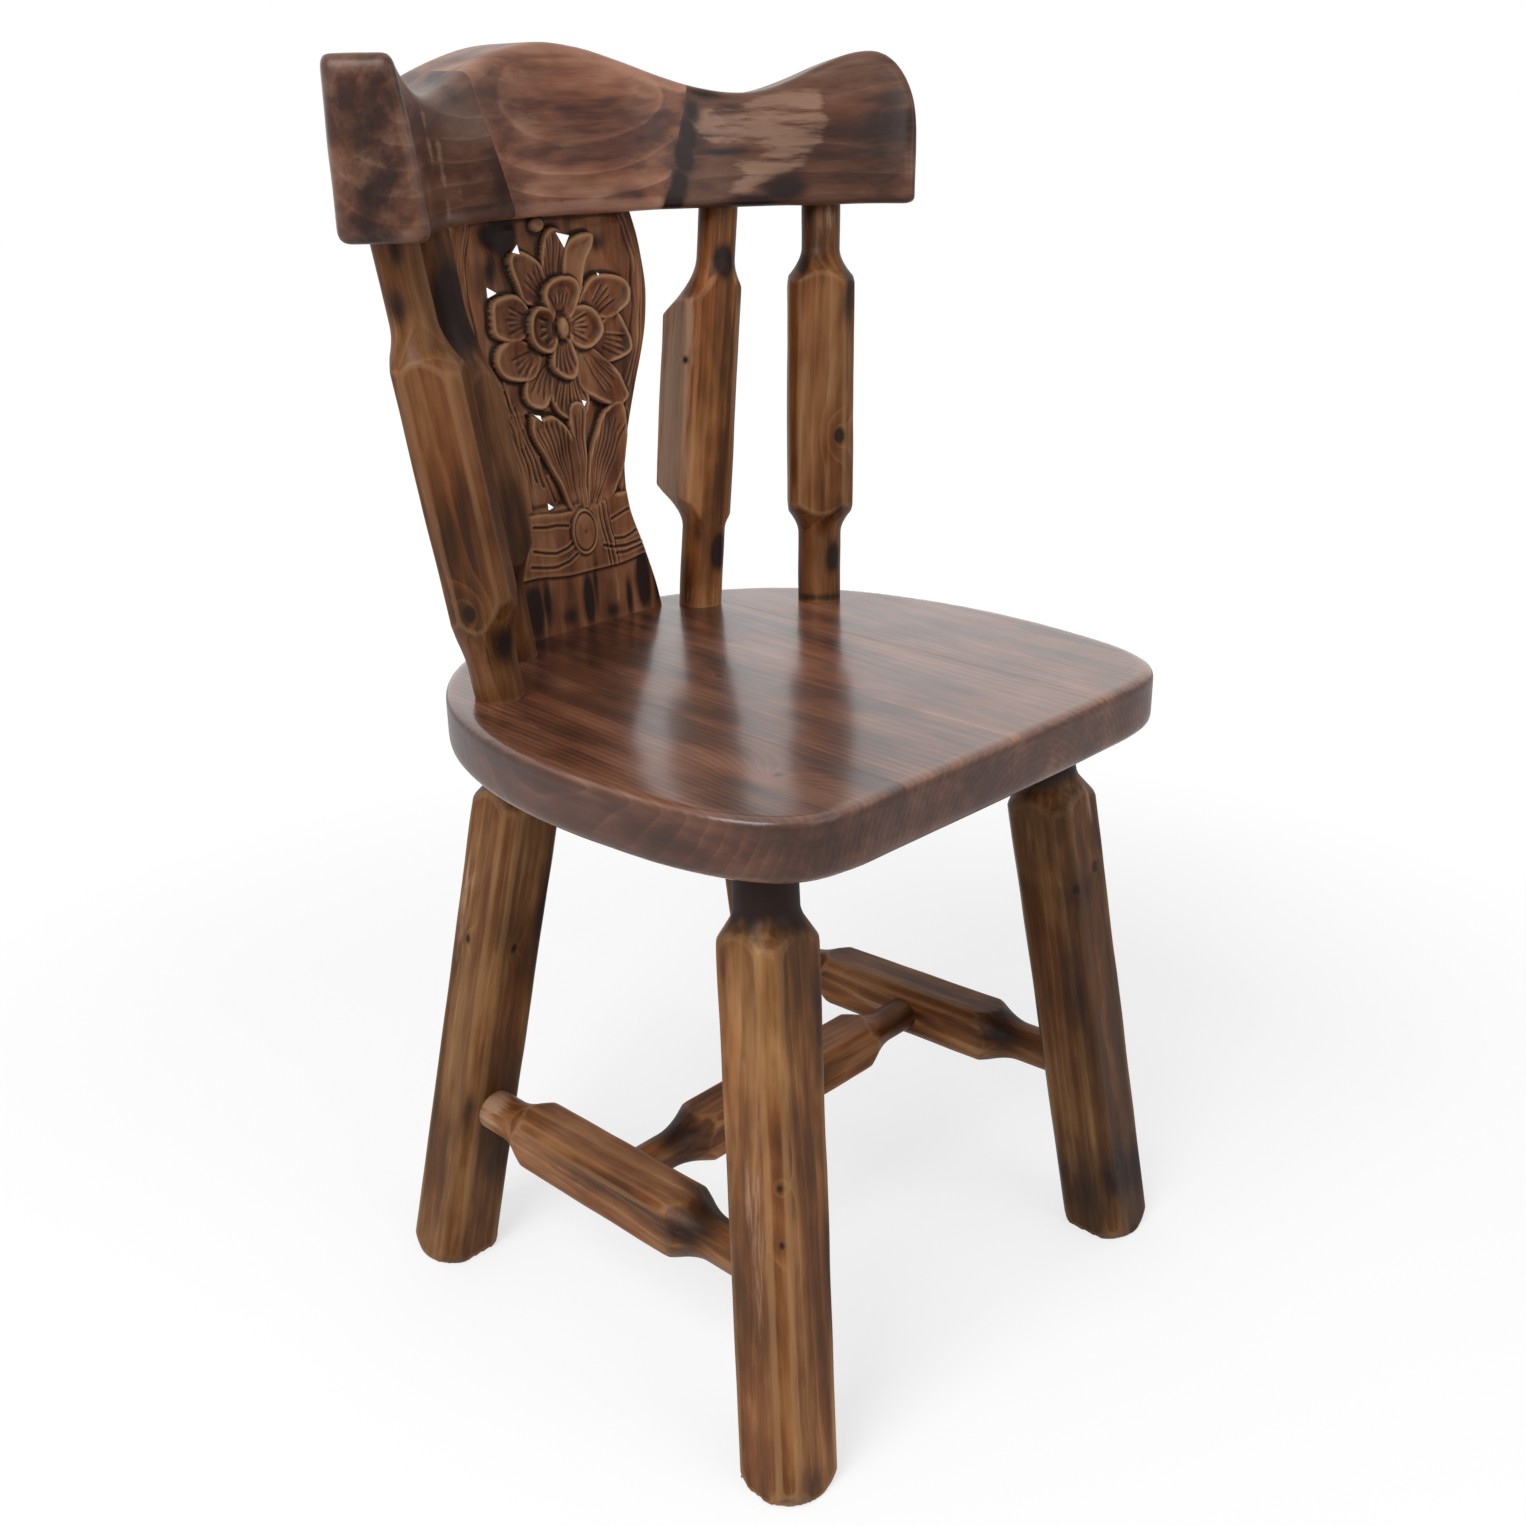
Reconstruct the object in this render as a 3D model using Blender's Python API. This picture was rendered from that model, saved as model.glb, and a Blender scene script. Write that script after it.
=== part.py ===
"""Carved wooden dining chair.

A solid softwood chair: a thick glued seat on four splayed square legs with
turned tops, an H of stretchers, and a curved back of four faceted spindles,
one pierced and carved splat and a crest rail glued up from three blocks.
+X is the sitter's left, -Y is the front, +Z is up.
"""

import math

import bpy
import bmesh
from mathutils import Matrix, Vector

for leftover in list(bpy.data.objects):
    bpy.data.objects.remove(leftover, do_unlink=True)

# Clearance between two seated or glued pieces
fit_gap = 0.0003

# Extra reach of the drills and saws past what they cut
overrun = 0.020

# Seat panel
seat_height = 0.460
seat_thickness = 0.041
seat_width = 0.440
seat_depth = 0.423
seat_top_round = 0.005
seat_bottom_round = 0.009
seat_board_width = 0.102

# Half of the seat's outline, front middle to back middle: across, then from front to back
seat_outline_shares = (
    (0.00, 0.000), (0.24, 0.001), (0.48, 0.003), (0.64, 0.006), (0.76, 0.018), (0.84, 0.045),
    (0.895, 0.085), (0.935, 0.135), (0.965, 0.200), (0.985, 0.280), (1.00, 0.400), (0.99, 0.500),
    (0.955, 0.610), (0.89, 0.715), (0.795, 0.805), (0.67, 0.878), (0.515, 0.935), (0.34, 0.972),
    (0.17, 0.993), (0.00, 1.000),
)

# Legs: square bars with wany corners, turned to a round neck at the top
leg_width = 0.0525
leg_corner_at_foot = 0.008
leg_corner_at_top = 0.0095
leg_neck_diameter = 0.041
leg_tenon_diameter = 0.037
leg_neck_length = 0.046
leg_shoulder_length = 0.019
leg_tenon_depth_share = 0.48
leg_foot_round = 0.003
leg_foot_round_fullness_share = 0.5
leg_shoulder_reach_share = 0.62
front_foot_spacing = 0.366
front_foot_from_front = 0.023
front_leg_top_spacing = 0.280
front_leg_top_from_front = 0.078
back_foot_spacing = 0.374
back_foot_from_back = 0.046
back_leg_top_spacing = 0.205
back_leg_top_from_back = 0.076

# Stretchers: square bars turned to round ends
side_stretcher_width = 0.042
side_stretcher_neck_diameter = 0.030
side_stretcher_height_at_back = 0.124
side_stretcher_height_at_front = 0.1385
side_stretcher_back_neck = 0.050
side_stretcher_back_shoulder = 0.040
side_stretcher_front_neck = 0.058
side_stretcher_front_shoulder = 0.040
cross_stretcher_width = 0.039
cross_stretcher_neck_diameter = 0.026
cross_stretcher_neck = 0.048
cross_stretcher_shoulder = 0.042
cross_stretcher_place_share = 0.51
stretcher_corner = 0.006
leg_socket_depth = 0.021
cross_socket_depth = 0.016

# Spindles: square bars turned to round necks, leaning back and fanned out
outer_right_width = 0.0425
inner_right_width = 0.048
inner_left_width = 0.048
outer_left_width = 0.049
spindle_corner = 0.007
spindle_top_neck_diameter = 0.029
spindle_foot_neck_diameter = 0.033
spindle_foot_tenon_depth_share = 0.40
spindle_top_tenon_depth = 0.024
outer_spindle_foot_spacing = 0.314
outer_spindle_foot_from_back = 0.120
outer_spindle_top_from_crest_end = 0.0223
outer_spindle_turn = math.radians(44)
outer_right_set_forward = 0.003
outer_left_set_back = 0.001
inner_spindle_foot_spacing = 0.175
inner_spindle_foot_from_back = 0.057
inner_spindle_top_from_joint = 0.061
inner_spindle_turn = math.radians(12)
inner_left_set_back = 0.009
inner_left_set_aside = 0.005

# The inner right spindle was set wider and its bar is centred on its necks
inner_right_foot_spacing = 0.193
inner_right_top_from_joint = 0.071
inner_right_set_back = 0.001

# Turned by hand, so the two outer spindles differ: lengths of the necks and shoulders
outer_right_foot_neck = 0.024
outer_right_foot_shoulder = 0.058
outer_right_top_neck = 0.054
outer_right_top_shoulder = 0.040
outer_left_foot_neck = 0.053
outer_left_foot_shoulder = 0.028
outer_left_top_neck = 0.033
outer_left_top_shoulder = 0.031
inner_foot_neck = 0.060
inner_foot_shoulder = 0.034
inner_top_neck = 0.039
inner_top_shoulder = 0.046
inner_right_foot_neck = 0.050
inner_right_foot_shoulder = 0.042
inner_right_top_neck = 0.052
inner_right_top_shoulder = 0.072

# Turned shoulders: how far past the bar's flats the lathe's widest cut lies, and how hollow they are
turned_reach_share = 0.74
shoulder_hollow_power = 1.7

# Crest rail: an arc in plan, hollow towards the sitter, its front face leaning back
crest_above_seat = 0.294
crest_hollow_depth = 0.1199
crest_inner_from_back = 0.046
crest_middle_thickness = 0.064
crest_end_thickness = 0.051
crest_width = 0.4246
crest_right_end_drop = 0.003
crest_front_lean = 0.014
crest_lean_power = 1.5
crest_edge_round = 0.006
crest_end_skew_share = 0.19

# Its top edge: a hump a little to the right of the middle, a dip on each side and two rounded ears
crest_hump_off_centre = 0.013
crest_hump_height = 0.110
crest_dip_height = 0.0775
crest_left_ear_height = 0.104
crest_right_ear_height = 0.099
crest_ear_drop = 0.054
crest_dip_place_share = 0.55
crest_ear_place_share = 0.875

# Glue joints of the crest rail, and the dowels inside them
crest_joint_foot_distance = 0.067
crest_joint_top_distance = 0.0905
crest_joint_top_height = 0.087
crest_dowel_diameter = 0.010
crest_dowel_length = 0.040
crest_dowel_low_share = 0.41
crest_dowel_high_share = 0.64

# Carved splat
splat_ground_thickness = 0.016
splat_width = 0.174
splat_off_centre = 0.009
splat_foot_from_back = 0.031
splat_top_inside_crest_share = 0.60
splat_edge_round = 0.003
splat_tenon_thickness = 0.010
splat_tenon_width = 0.096
splat_foot_tenon_depth_share = 0.45
splat_top_tenon_depth = 0.020

# Half of the splat's outline from seat to crest: up, then across
splat_outline_shares = (
    (0.00, 0.846), (0.05, 0.814), (0.10, 0.769), (0.16, 0.706), (0.21, 0.647), (0.26, 0.592),
    (0.31, 0.565), (0.36, 0.565), (0.41, 0.588), (0.47, 0.647), (0.53, 0.719), (0.59, 0.796),
    (0.65, 0.878), (0.71, 0.946), (0.77, 0.986), (0.82, 1.000), (0.88, 0.982), (0.94, 0.950),
    (1.00, 0.891),
)

# Carving on the splat: a double flower over a bunch of leaves that a buckled belt ties.
# Heights and the leaves' length are shares of the splat's length, widths and petals of its width.
carving_off_centre_share = 0.012
flower_height_share = 0.738
flower_back_petal_share = 0.377
flower_back_petal_turn = math.radians(25)
flower_back_relief = 0.0035
flower_front_petal_share = 0.212
flower_front_petal_turn = math.radians(42)
flower_front_relief = 0.006
flower_core_share = 0.25
flower_boss_share = 0.077
flower_boss_relief = 0.008
leaf_gather_height_share = 0.2925
leaf_gather_width_share = 0.082
leaf_length_share = 0.265
leaf_turn = math.radians(9)
leaf_relief = 0.003
belt_bottom_share = 0.156
belt_top_share = 0.303
belt_relief = 0.0022
belt_side_inset = 0.0015
buckle_width_share = 0.136
buckle_height_share = 0.84
buckle_relief = 0.0055

# Petals and leaves: bearing from straight up, in degrees to the left, then a share of the full length
flower_back_petal_shares = (
    (0, 0.83), (46, 0.74), (104, 0.98), (146, 0.80), (-146, 0.83), (-110, 0.80), (-74, 1.00), (-30, 0.78),
)
flower_front_petal_shares = ((3, 0.95), (98, 1.00), (181, 1.00), (-90, 0.78))
leaf_shares = ((-29, 0.86), (-14, 0.95), (0, 1.00), (14, 0.95), (28, 0.86))

# How a carved form rises: share of its outline left, then share of its relief
carving_rise_shares = ((1.00, 0.50), (0.88, 0.92), (0.60, 1.00), (0.25, 0.70))
buckle_rise_shares = ((1.00, 0.60), (0.84, 1.00), (0.66, 1.00), (0.55, 0.45))

# Pierced openings between the petals and leaves: across and up as shares, then share of the full size
pierced_hole_width = 0.013
pierced_hole_height = 0.010
pierced_hole_shares = (
    (0.130, 0.949, 1.0), (-0.377, 0.929, 0.8), (-0.658, 0.837, 0.8), (0.456, 0.854, 0.5),
    (0.185, 0.551, 0.6), (-0.350, 0.534, 0.8), (-0.268, 0.325, 0.6),
)

turning_sides = 20
drill_sides = 20


def wood(name, colour, roughness):
    """One stained and varnished wood, as a Principled material."""
    material = bpy.data.materials.new(name)
    material.use_nodes = True
    shader = material.node_tree.nodes["Principled BSDF"]
    shader.inputs["Base Color"].default_value = (*colour, 1.0)
    shader.inputs["Roughness"].default_value = roughness
    shader.inputs["Metallic"].default_value = 0.0
    material.diffuse_color = (*colour, 1.0)
    return material


def body_from_rings(name, rings, placement=None):
    """Skins closed rings of points, one after the other, and caps both ends."""
    build = bmesh.new()
    rows = [[build.verts.new(point) for point in ring] for ring in rings]
    count = len(rows[0])
    for low, high in zip(rows, rows[1:]):
        for index in range(count):
            following = (index + 1) % count
            build.faces.new((low[index], low[following], high[following], high[index]))
    build.faces.new(list(reversed(rows[0])))
    build.faces.new(rows[-1])
    bmesh.ops.recalc_face_normals(build, faces=build.faces)
    mesh = bpy.data.meshes.new(name)
    build.to_mesh(mesh)
    build.free()
    body = bpy.data.objects.new(name, mesh)
    bpy.context.scene.collection.objects.link(body)
    if placement is not None:
        body.matrix_world = placement
    return body


def circle(radius, height, sides, start=0):
    """Points of a level ring about the Z axis; start is the first point's share of a step."""
    turns = [2 * math.pi * (index + start) / sides for index in range(sides)]
    return [Vector((radius * math.cos(turn), radius * math.sin(turn), height)) for turn in turns]


def turned(name, profile, sides, placement):
    """A turned body: the profile's (radius, height) pairs swept about Z."""
    return body_from_rings(name, [circle(radius, height, sides) for radius, height in profile], placement)


def square_ring(width, depth, corner, height):
    """Points of a level rectangle whose corners are cut off."""
    across = width / 2
    along = depth / 2
    points = (
        (across, -along + corner), (across, along - corner), (across - corner, along),
        (-across + corner, along), (-across, along - corner), (-across, -along + corner),
        (-across + corner, -along), (across - corner, -along),
    )
    return [Vector((x, y, height)) for x, y in points]


def combine(body, tool, operation):
    """Joins the tool to the body, cuts it out or keeps what both share, then discards the tool."""
    step = body.modifiers.new(operation.lower(), "BOOLEAN")
    step.operation = operation
    step.solver = "EXACT"
    step.object = tool
    bpy.context.view_layer.update()
    with bpy.context.temp_override(object=body, active_object=body, selected_objects=[body]):
        bpy.ops.object.modifier_apply(modifier=step.name)
    bpy.data.objects.remove(tool, do_unlink=True)


def saw(body, point, waste_side):
    """Cuts a body with a plane, drops the waste side and closes the cut."""
    into_body = body.matrix_world.inverted()
    local_point = into_body @ point
    local_normal = (body.matrix_world.to_3x3().transposed() @ waste_side).normalized()
    build = bmesh.new()
    build.from_mesh(body.data)
    everything = build.verts[:] + build.edges[:] + build.faces[:]
    result = bmesh.ops.bisect_plane(
        build, geom=everything, plane_co=local_point, plane_no=local_normal, clear_outer=True)
    rim = [item for item in result["geom_cut"] if isinstance(item, bmesh.types.BMEdge)]
    bmesh.ops.holes_fill(build, edges=rim, sides=0)
    bmesh.ops.recalc_face_normals(build, faces=build.faces)
    build.to_mesh(body.data)
    build.free()
    body.data.update()


def copy_of(body, name):
    """A separate copy of a body with its own mesh."""
    duplicate = bpy.data.objects.new(name, body.data.copy())
    duplicate.matrix_world = body.matrix_world.copy()
    bpy.context.scene.collection.objects.link(duplicate)
    return duplicate


def axis_placement(start, end, side):
    """Stands a local Z axis on start, pointing at end, with local X as near to side as it can be."""
    upward = (end - start).normalized()
    forward = upward.cross(side).normalized()
    sideways = forward.cross(upward)
    turn = Matrix((sideways, forward, upward)).transposed()
    return Matrix.Translation(start) @ turn.to_4x4()


def finish(body, material, smooth_angle=math.radians(35)):
    """Gives a finished piece its wood and its shading."""
    body.data.materials.clear()
    body.data.materials.append(material)
    body.data.shade_smooth()
    body.data.set_sharp_from_angle(angle=smooth_angle)
    pieces.append(body)


def drill(body, diameter, start, end):
    """Bores a straight round hole from start to end."""
    placement = Matrix.Translation(start) @ (end - start).to_track_quat("Z", "Y").to_matrix().to_4x4()
    length = (end - start).length
    bit = turned("drill", [(diameter / 2, 0), (diameter / 2, length)], drill_sides, placement)
    combine(body, bit, "DIFFERENCE")


def smooth_between(points, steps):
    """A smooth curve through the points, with the given steps from each to the next."""
    curve = []
    last = len(points) - 1
    for index in range(last):
        before = Vector(points[max(index - 1, 0)])
        here = Vector(points[index])
        there = Vector(points[index + 1])
        after = Vector(points[min(index + 2, last)])
        for step in range(steps):
            share = step / steps
            bend = 2 * here + (there - before) * share
            bend += (2 * before - 5 * here + 4 * there - after) * share ** 2
            bend += (3 * here - before - 3 * there + after) * share ** 3
            curve.append(bend / 2)
    curve.append(Vector(points[last]))
    return curve


pieces = []
seat_underside = seat_height - seat_thickness
seat_front = -seat_depth / 2
seat_back = seat_depth / 2
leg_tenon_depth = seat_thickness * leg_tenon_depth_share
spindle_foot_tenon_depth = seat_thickness * spindle_foot_tenon_depth_share
splat_foot_tenon_depth = seat_thickness * splat_foot_tenon_depth_share


def seat_outline():
    """The seat's outline seen from above, as (x, y) points running round it once."""
    half = smooth_between(seat_outline_shares, 2)
    right = [(point.x * seat_width / 2, seat_front + point.y * seat_depth) for point in half]
    left = [(-x, y) for x, y in reversed(right[1:-1])]
    return right + left


def inset_outline(outline, distance):
    """Moves every point of a closed outline inwards, square to the outline."""
    moved = []
    count = len(outline)
    for index, (x, y) in enumerate(outline):
        before = Vector(outline[index - 1])
        after = Vector(outline[(index + 1) % count])
        tangent = (after - before).normalized()
        moved.append((x - tangent.y * distance, y + tangent.x * distance))
    return moved


def rounded_slab(name, outline, bottom, top, bottom_round, top_round):
    """A level slab with rounded edges above and below."""
    steps = (0, math.radians(45), math.radians(90))
    layers = [(bottom_round * (1 - math.sin(turn)), bottom + bottom_round * (1 - math.cos(turn))) for turn in steps]
    layers += [(top_round * (1 - math.cos(turn)), top - top_round * (1 - math.sin(turn))) for turn in steps]
    rings = []
    for inset, height in layers:
        rings.append([Vector((x, y, height)) for x, y in inset_outline(outline, inset)])
    return body_from_rings(name, rings)


def leg_axis(side, spacing_foot, foot_y, spacing_top, top_y):
    """Floor point and seat-underside point of one leg's axis; side is -1 right or 1 left."""
    foot = Vector((side * spacing_foot / 2, foot_y, 0))
    top = Vector((side * spacing_top / 2, top_y, seat_underside))
    return foot, top


leg_axes = {}
for side_name, side in (("right", -1), ("left", 1)):
    leg_axes["front_" + side_name] = leg_axis(
        side, front_foot_spacing, seat_front + front_foot_from_front,
        front_leg_top_spacing, seat_front + front_leg_top_from_front)
    leg_axes["back_" + side_name] = leg_axis(
        side, back_foot_spacing, seat_back - back_foot_from_back,
        back_leg_top_spacing, seat_back - back_leg_top_from_back)


def on_leg(leg, height):
    """The point of a leg's axis at a height above the floor."""
    foot, top = leg_axes[leg]
    return foot + (top - foot) * (height / top.z)


def round_foot(bar):
    """Rounds the edges of a leg's flat foot."""
    build = bmesh.new()
    build.from_mesh(bar.data)
    turn = bar.matrix_world.to_3x3()
    soles = [face for face in build.faces if (turn @ face.normal).normalized().z < -math.cos(math.radians(1))]
    rim = list({edge for face in soles for edge in face.edges if len([f for f in edge.link_faces if f in soles]) == 1})
    bmesh.ops.bevel(
        build, geom=rim, offset=leg_foot_round, segments=2, profile=leg_foot_round_fullness_share, affect="EDGES")
    build.to_mesh(bar.data)
    build.free()


def build_leg(leg):
    """Square bar with a turned shoulder, neck and tenon, its foot cut flat on the floor."""
    foot, top = leg_axes[leg]
    placement = axis_placement(foot, top, Vector((1, 0, 0)))
    length = (top - foot).length
    bar_bottom = -overrun
    bar_top = length + leg_tenon_depth
    bar = body_from_rings("leg_" + leg, [
        square_ring(leg_width, leg_width, leg_corner_at_foot, bar_bottom),
        square_ring(leg_width, leg_width, leg_corner_at_top, bar_top + overrun),
    ], placement)
    neck_start = length - leg_neck_length
    neck_radius = leg_neck_diameter / 2
    tenon_radius = leg_tenon_diameter / 2
    slope = (leg_width * leg_shoulder_reach_share - neck_radius) / leg_shoulder_length
    full_radius = leg_width
    soften = leg_shoulder_length / 8
    shape = turned("lathe", [
        (full_radius, bar_bottom - overrun),
        (full_radius, neck_start - (full_radius - neck_radius) / slope),
        (neck_radius + slope * soften, neck_start - soften),
        (neck_radius, neck_start + soften),
        (tenon_radius, length - soften),
        (tenon_radius, bar_top - soften),
        (tenon_radius - soften / 2, bar_top),
    ], turning_sides, placement)
    combine(bar, shape, "INTERSECT")
    saw(bar, Vector((0, 0, 0)), Vector((0, 0, -1)))
    round_foot(bar)
    return bar


def drill_leg_socket(board, leg):
    """The blind hole in the seat's underside for one leg's tenon."""
    foot, top = leg_axes[leg]
    along = (top - foot).normalized()
    drill(board, leg_tenon_diameter + 2 * fit_gap, top - along * overrun, top + along * (leg_tenon_depth + fit_gap))


def turned_bar(name, start, end, side, width, corner, profile, set_off=Vector((0, 0, 0))):
    """A square bar beside an axis, kept only where a turned profile also is."""
    placement = axis_placement(start, end, side)
    low = profile[0][1]
    high = profile[-1][1]
    rings = []
    for height in (low - overrun, high + overrun):
        ring = square_ring(width, width, corner, height)
        rings.append([point + set_off for point in ring])
    bar = body_from_rings(name, rings, placement)
    shape = turned("lathe", profile, turning_sides, placement)
    combine(bar, shape, "INTERSECT")
    return bar


def hollow_shoulder(neck_radius, full_radius, neck_end, full_start, steps):
    """A hollow turned shoulder from a neck out to a full radius."""
    pairs = []
    for step in range(steps + 1):
        share = step / steps
        radius = neck_radius + (full_radius - neck_radius) * share ** shoulder_hollow_power
        pairs.append((radius, neck_end + (full_start - neck_end) * share))
    return pairs


def stretcher_profile(low, high, low_neck, low_shoulder, high_neck, high_shoulder, neck_diameter, width):
    """Turned profile of a stretcher, from its low tenon end to its high one."""
    neck = neck_diameter / 2
    full = width * turned_reach_share
    profile = [(neck, low)]
    profile += hollow_shoulder(neck, full, low_neck, low_neck + low_shoulder, 4)
    profile += list(reversed(hollow_shoulder(neck, full, high_neck, high_neck - high_shoulder, 4)))
    profile.append((neck, high))
    return profile


side_axes = {}
for side_name in ("right", "left"):
    side_axes[side_name] = (
        on_leg("back_" + side_name, side_stretcher_height_at_back),
        on_leg("front_" + side_name, side_stretcher_height_at_front))


def build_side_stretcher(side_name):
    """Square bar with round ends let into the inner faces of a back and a front leg."""
    start, end = side_axes[side_name]
    length = (end - start).length
    inside = leg_width / 2 - leg_socket_depth
    profile = stretcher_profile(
        inside, length - inside, side_stretcher_back_neck, side_stretcher_back_shoulder,
        length - side_stretcher_front_neck, side_stretcher_front_shoulder,
        side_stretcher_neck_diameter, side_stretcher_width)
    return turned_bar(
        "side_stretcher_" + side_name, start, end, Vector((1, 0, 0)),
        side_stretcher_width, stretcher_corner, profile)


def drill_stretcher_socket(leg, axis_point, other_point):
    """The blind hole in a leg for the end of a side stretcher."""
    along = (other_point - axis_point).normalized()
    bottom = axis_point + along * (leg_width / 2 - leg_socket_depth - fit_gap)
    mouth = axis_point + along * (leg_width / 2 + overrun)
    drill(leg, side_stretcher_neck_diameter + 2 * fit_gap, bottom, mouth)


def cross_axis():
    """Ends of the cross stretcher's axis on the two side stretchers' axes."""
    ends = []
    for side_name in ("right", "left"):
        start, end = side_axes[side_name]
        ends.append(start + (end - start) * cross_stretcher_place_share)
    return ends


def build_cross_stretcher():
    """Square bar with round ends let into the middles of both side stretchers."""
    start, end = cross_axis()
    length = (end - start).length
    inside = side_stretcher_width / 2 - cross_socket_depth
    profile = stretcher_profile(
        inside, length - inside, cross_stretcher_neck, cross_stretcher_shoulder,
        length - cross_stretcher_neck, cross_stretcher_shoulder,
        cross_stretcher_neck_diameter, cross_stretcher_width)
    return turned_bar(
        "cross_stretcher", start, end, Vector((0, 1, 0)),
        cross_stretcher_width, stretcher_corner, profile)


def drill_cross_socket(stretcher, axis_point, other_point):
    """The blind hole in a side stretcher for the end of the cross stretcher."""
    along = (other_point - axis_point).normalized()
    bottom = axis_point + along * (side_stretcher_width / 2 - cross_socket_depth - fit_gap)
    mouth = axis_point + along * (side_stretcher_width / 2 + overrun)
    drill(stretcher, cross_stretcher_neck_diameter + 2 * fit_gap, bottom, mouth)


# The crest rail's arc, through its ends and its hollow's deepest point: its centre lies in front of it
crest_bottom_height = seat_height + crest_above_seat
crest_inner_y = seat_back - crest_inner_from_back
crest_inner_radius = (crest_hollow_depth ** 2 + (crest_width / 2) ** 2) / (2 * crest_hollow_depth)
crest_centre_y = crest_inner_y - crest_inner_radius
crest_half_length = crest_inner_radius * math.atan2(crest_width / 2, crest_inner_radius - crest_hollow_depth)


def crest_thickness(place):
    """Thickness of the rail's foot at a distance from its middle along the inner face."""
    return crest_middle_thickness + (crest_end_thickness - crest_middle_thickness) * (place / crest_half_length) ** 2


def crest_height(place):
    """Height of the rail's top edge at a distance to the left of its middle."""
    ear_height = crest_left_ear_height if place > 0 else crest_right_ear_height
    reach = crest_half_length + crest_hump_off_centre
    run = abs(place + crest_hump_off_centre) / reach
    if run <= crest_dip_place_share:
        wave = (1 + math.cos(math.pi * run / crest_dip_place_share)) / 2
        return crest_dip_height + (crest_hump_height - crest_dip_height) * wave
    if run <= crest_ear_place_share:
        climb = (run - crest_dip_place_share) / (crest_ear_place_share - crest_dip_place_share)
        wave = (1 - math.cos(math.pi * climb)) / 2
        return crest_dip_height + (ear_height - crest_dip_height) * wave
    fall = (run - crest_ear_place_share) / (1 - crest_ear_place_share)
    return ear_height - crest_ear_drop * (1 - math.sqrt(abs(1 - fall ** 2)))


def crest_point(place, outwards, height):
    """A point of the rail: distance along it, distance behind the inner face's foot, height.

    The ends are sawn more squarely to the front than the arc's radius there, and the right end sags a little.
    """
    skew = crest_end_skew_share * outwards * (place / crest_half_length) ** 3
    angle = (place - skew) / crest_inner_radius
    lean = crest_front_lean * (height / crest_left_ear_height) ** crest_lean_power
    radius = crest_inner_radius + outwards + lean * (1 - outwards / crest_thickness(place))
    drop = crest_right_end_drop * max(-place / crest_half_length, 0) ** 3
    return Vector((
        radius * math.sin(angle),
        crest_centre_y + radius * math.cos(angle),
        crest_bottom_height + height - drop))


def crest_ring(place, inset):
    """One rounded cross-section of the rail, drawn in by the inset."""
    top = crest_height(place)
    thick = crest_thickness(place)
    edge = crest_edge_round
    corners = (
        (inset, inset, 180), (inset, top - inset, 90),
        (thick - inset, top - inset, 0), (thick - inset, inset, 270),
    )
    ring = []
    for outwards, height, turn in corners:
        middle_out = outwards + (edge if outwards < thick / 2 else -edge)
        middle_up = height + (edge if height < top / 2 else -edge)
        for step in (0, 1, 2):
            bearing = math.radians(turn + 90 - 45 * step)
            ring.append(crest_point(
                place, middle_out + edge * math.cos(bearing), middle_up + edge * math.sin(bearing)))
    return ring


def crest_stations(side):
    """Places from the middle to one end of the rail, with the inset of the rounded end."""
    ear = (crest_half_length + crest_hump_off_centre) * crest_ear_place_share
    ear -= side * crest_hump_off_centre
    last_full = crest_half_length - crest_edge_round
    stations = [(side * ear * step / 12, 0) for step in range(1, 12)]
    for turn in (0, math.radians(25), math.radians(45), math.radians(65), math.radians(90)):
        if last_full > ear:
            stations.append((side * (ear + (last_full - ear) * math.sin(turn)), 0))
    if last_full <= ear:
        stations.append((side * last_full, 0))
    for turn in (math.radians(45), math.radians(90)):
        stations.append((
            side * (crest_half_length - crest_edge_round * (1 - math.sin(turn))),
            crest_edge_round * (1 - math.cos(turn))))
    return stations


def build_crest():
    """The whole crest rail before it is parted at its glue joints."""
    stations = list(reversed(crest_stations(-1))) + [(0, 0)] + crest_stations(1)
    return body_from_rings("crest", [crest_ring(place, inset) for place, inset in stations])


def crest_joint(side):
    """Middle point and direction of a glue joint; the direction points away from the middle block."""
    places = []
    for distance in (crest_joint_foot_distance, crest_joint_top_distance):
        places.append(side * crest_inner_radius * math.asin(distance / crest_inner_radius))
    half_thickness = crest_thickness(sum(places) / 2) / 2
    low = crest_point(places[0], half_thickness, 0)
    high = crest_point(places[1], half_thickness, crest_joint_top_height)
    outwards = Vector(((low.x + high.x) / 2, (low.y + high.y) / 2 - crest_centre_y, 0)).normalized()
    slope = high - low
    away = outwards.cross(slope).normalized()
    if away.x * side < 0:
        away = -away
    return (low + high) / 2, away, slope


def crest_dowel_axes(side):
    """Middle points and direction of the two dowels across one glue joint."""
    middle, away, slope = crest_joint(side)
    points = []
    for share in (crest_dowel_low_share, crest_dowel_high_share):
        points.append(middle + slope * (share - 1 / 2))
    return points, away


def spindle_axis(side, foot_spacing, foot_from_back, top_distance):
    """Axis of one spindle from the seat's top to the middle of the crest's underside."""
    foot = Vector((side * foot_spacing / 2, seat_back - foot_from_back, seat_height))
    across = side * top_distance
    radius = crest_inner_radius + crest_end_thickness / 2
    angle = math.atan2(abs(across), math.sqrt(radius ** 2 - across ** 2))
    radius = crest_inner_radius + crest_thickness(crest_inner_radius * angle) / 2
    top = Vector((across, crest_centre_y + math.sqrt(radius ** 2 - across ** 2), crest_bottom_height))
    return foot, top


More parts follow.
